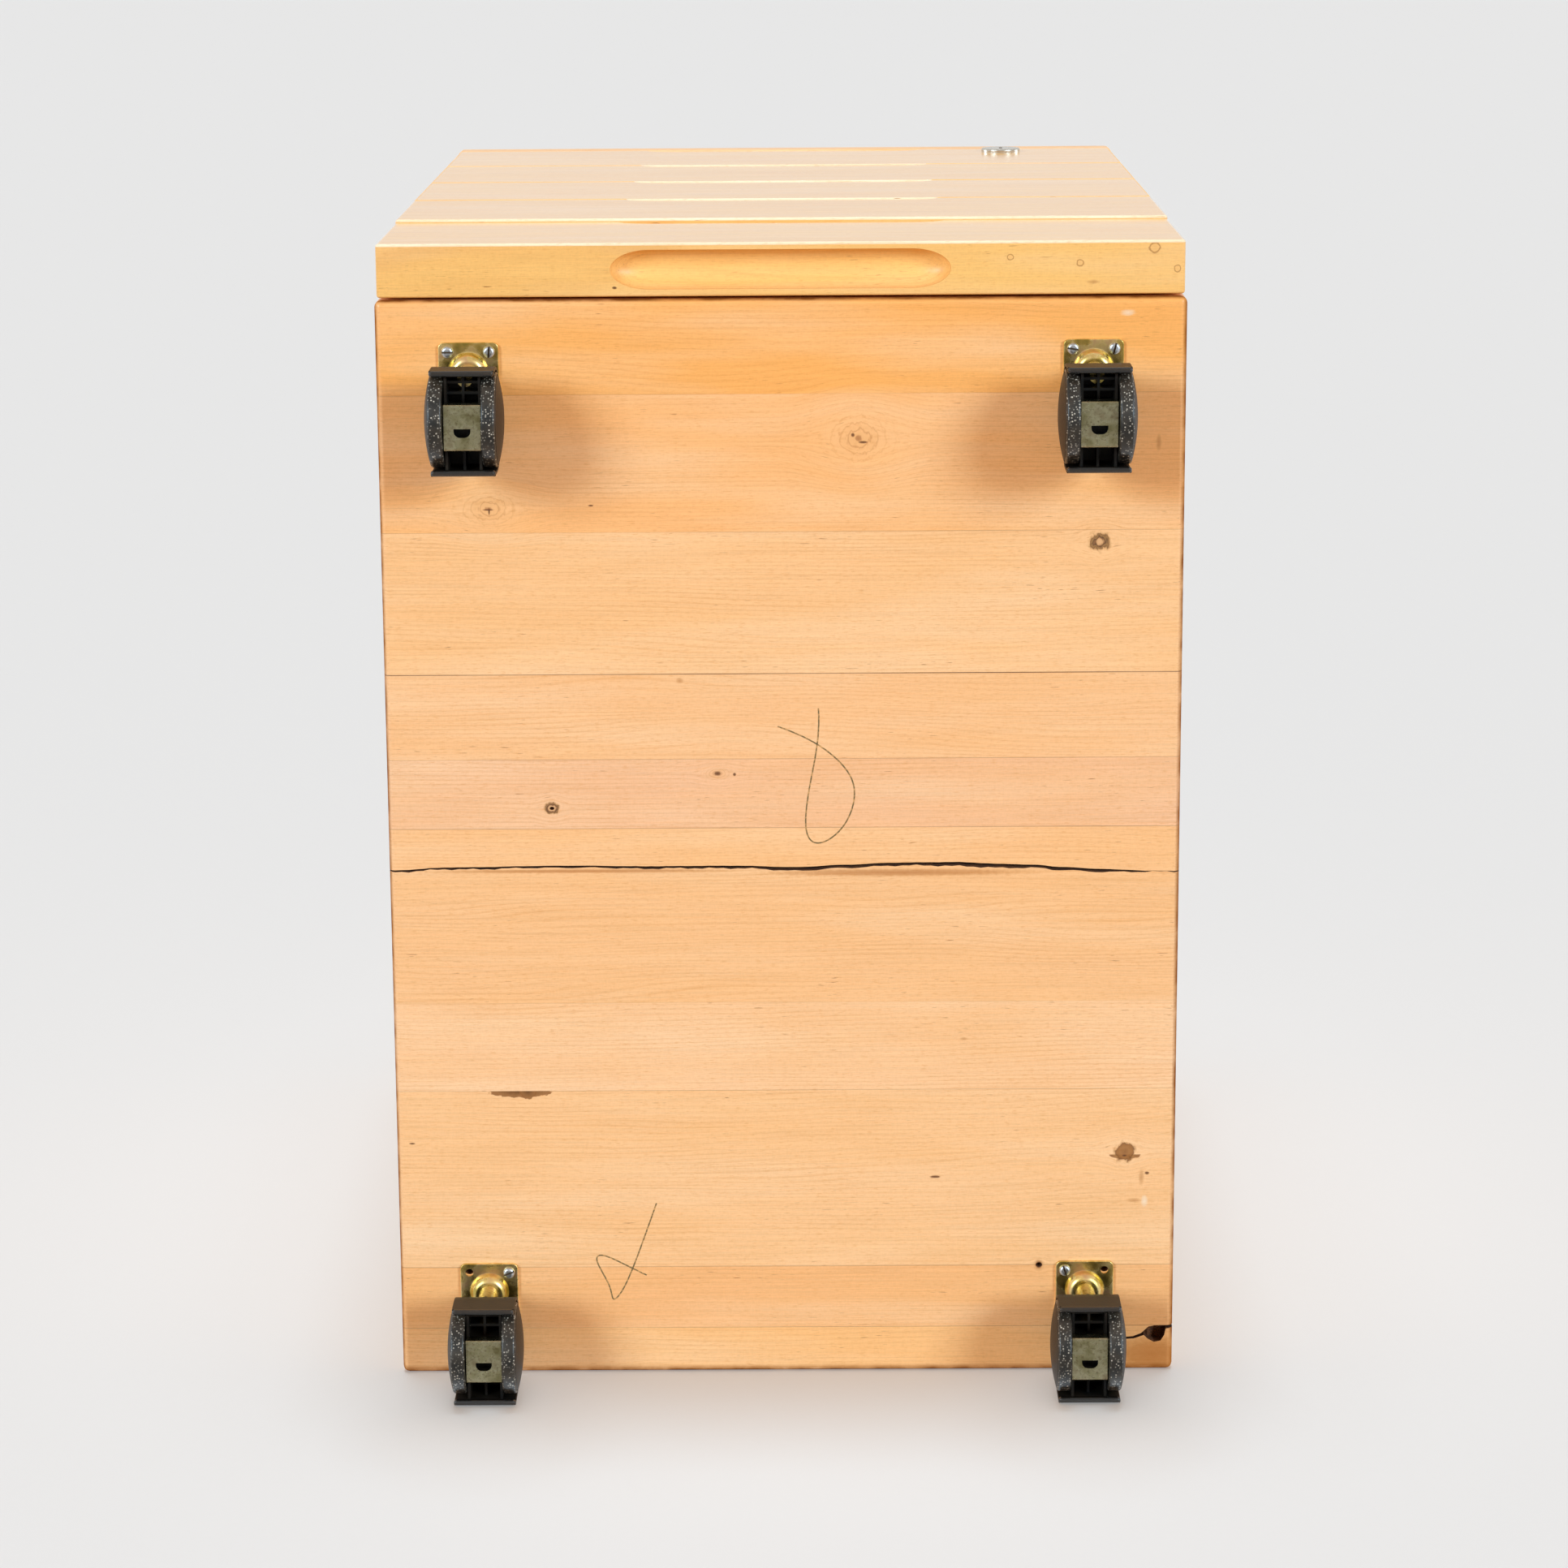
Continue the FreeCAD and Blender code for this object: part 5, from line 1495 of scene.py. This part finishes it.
    def place_camera(self):
        """The view up at the underside, with the unit lying on its back."""
        stage = bpy.context.scene.pedestal_stage
        data = bpy.data.cameras.new("camera")
        data.lens = stage.lens
        data.sensor_width = 36.0
        data.clip_start = 0.05
        data.clip_end = 200.0
        camera = bpy.data.objects.new("camera", data)
        bpy.context.scene.collection.objects.link(camera)
        turn_back = Matrix.Rotation(stage.camera_turn, 3, "Y")
        tilt = stage.camera_tilt
        up = Vector((0, -math.cos(tilt), math.sin(tilt)))
        forward = Vector((0, math.sin(tilt), math.cos(tilt)))
        right = Vector((1, 0, 0))
        roll = stage.camera_roll
        level = math.cos(roll) * right - math.sin(roll) * up
        upright = math.sin(roll) * right + math.cos(roll) * up
        columns = [turn_back @ way for way in (level, upright, -forward)]
        turned = Matrix(columns).transposed()
        camera.matrix_world = Matrix.Translation(stage.camera_place) @ turned.to_4x4()
        bpy.context.scene.camera = camera

    def execute(self, context):
        context.scene.view_settings.view_transform = "Standard"
        paper = self.paper()
        low, high = cad_box
        floors = [
            self.lay_floor("floor_behind", Matrix.Rotation(math.pi / 2, 3, "X"), (0, high.y, 0), paper),
            self.lay_floor("floor_below", Matrix.Identity(3), (0, 0, low.z), paper),
        ]
        self.hang_world()
        self.hang_lamps(floors)
        self.place_camera()
        return {"FINISHED"}


OPERATORS = (
    PEDESTAL_OT_bottom_board,
    PEDESTAL_OT_carcass,
    PEDESTAL_OT_drawer_fronts,
    PEDESTAL_OT_drawer_boxes,
    PEDESTAL_OT_lock,
    PEDESTAL_OT_casters,
    PEDESTAL_OT_screws,
    PEDESTAL_OT_stage,
)


class PEDESTAL_PT_panel(bpy.types.Panel):
    """The pedestal's pieces, sizes and finishes in the sidebar"""

    bl_idname = "PEDESTAL_PT_panel"
    bl_label = "Drawer pedestal"
    bl_space_type = "VIEW_3D"
    bl_region_type = "UI"
    bl_category = "Pedestal"

    def draw(self, context):
        layout = self.layout
        scene = context.scene
        for operator in OPERATORS:
            layout.operator(operator.bl_idname)
        for group in (scene.pedestal_sizes, scene.pedestal_finish, scene.pedestal_stage):
            box = layout.box()
            for key in group.bl_rna.properties.keys():
                if key not in ("rna_type", "name"):
                    box.prop(group, key)


CLASSES = (PedestalSizes, PedestalFinish, PedestalStage, *OPERATORS, PEDESTAL_PT_panel)


def register():
    """Make the classes and the scene's settings known."""
    for known in CLASSES:
        bpy.utils.register_class(known)
    bpy.types.Scene.pedestal_sizes = bpy.props.PointerProperty(type=PedestalSizes)
    bpy.types.Scene.pedestal_finish = bpy.props.PointerProperty(type=PedestalFinish)
    bpy.types.Scene.pedestal_stage = bpy.props.PointerProperty(type=PedestalStage)


def unregister():
    """Take the scene's settings and the classes away again."""
    del bpy.types.Scene.pedestal_stage
    del bpy.types.Scene.pedestal_finish
    del bpy.types.Scene.pedestal_sizes
    for known in reversed(CLASSES):
        bpy.utils.unregister_class(known)


def main():
    """Build every piece and the stage."""
    register()
    bpy.ops.pedestal.bottom_board()
    bpy.ops.pedestal.carcass()
    bpy.ops.pedestal.drawer_fronts()
    bpy.ops.pedestal.drawer_boxes()
    bpy.ops.pedestal.lock()
    bpy.ops.pedestal.casters()
    bpy.ops.pedestal.screws()
    bpy.ops.pedestal.stage()


if __name__ == "__main__":
    main()
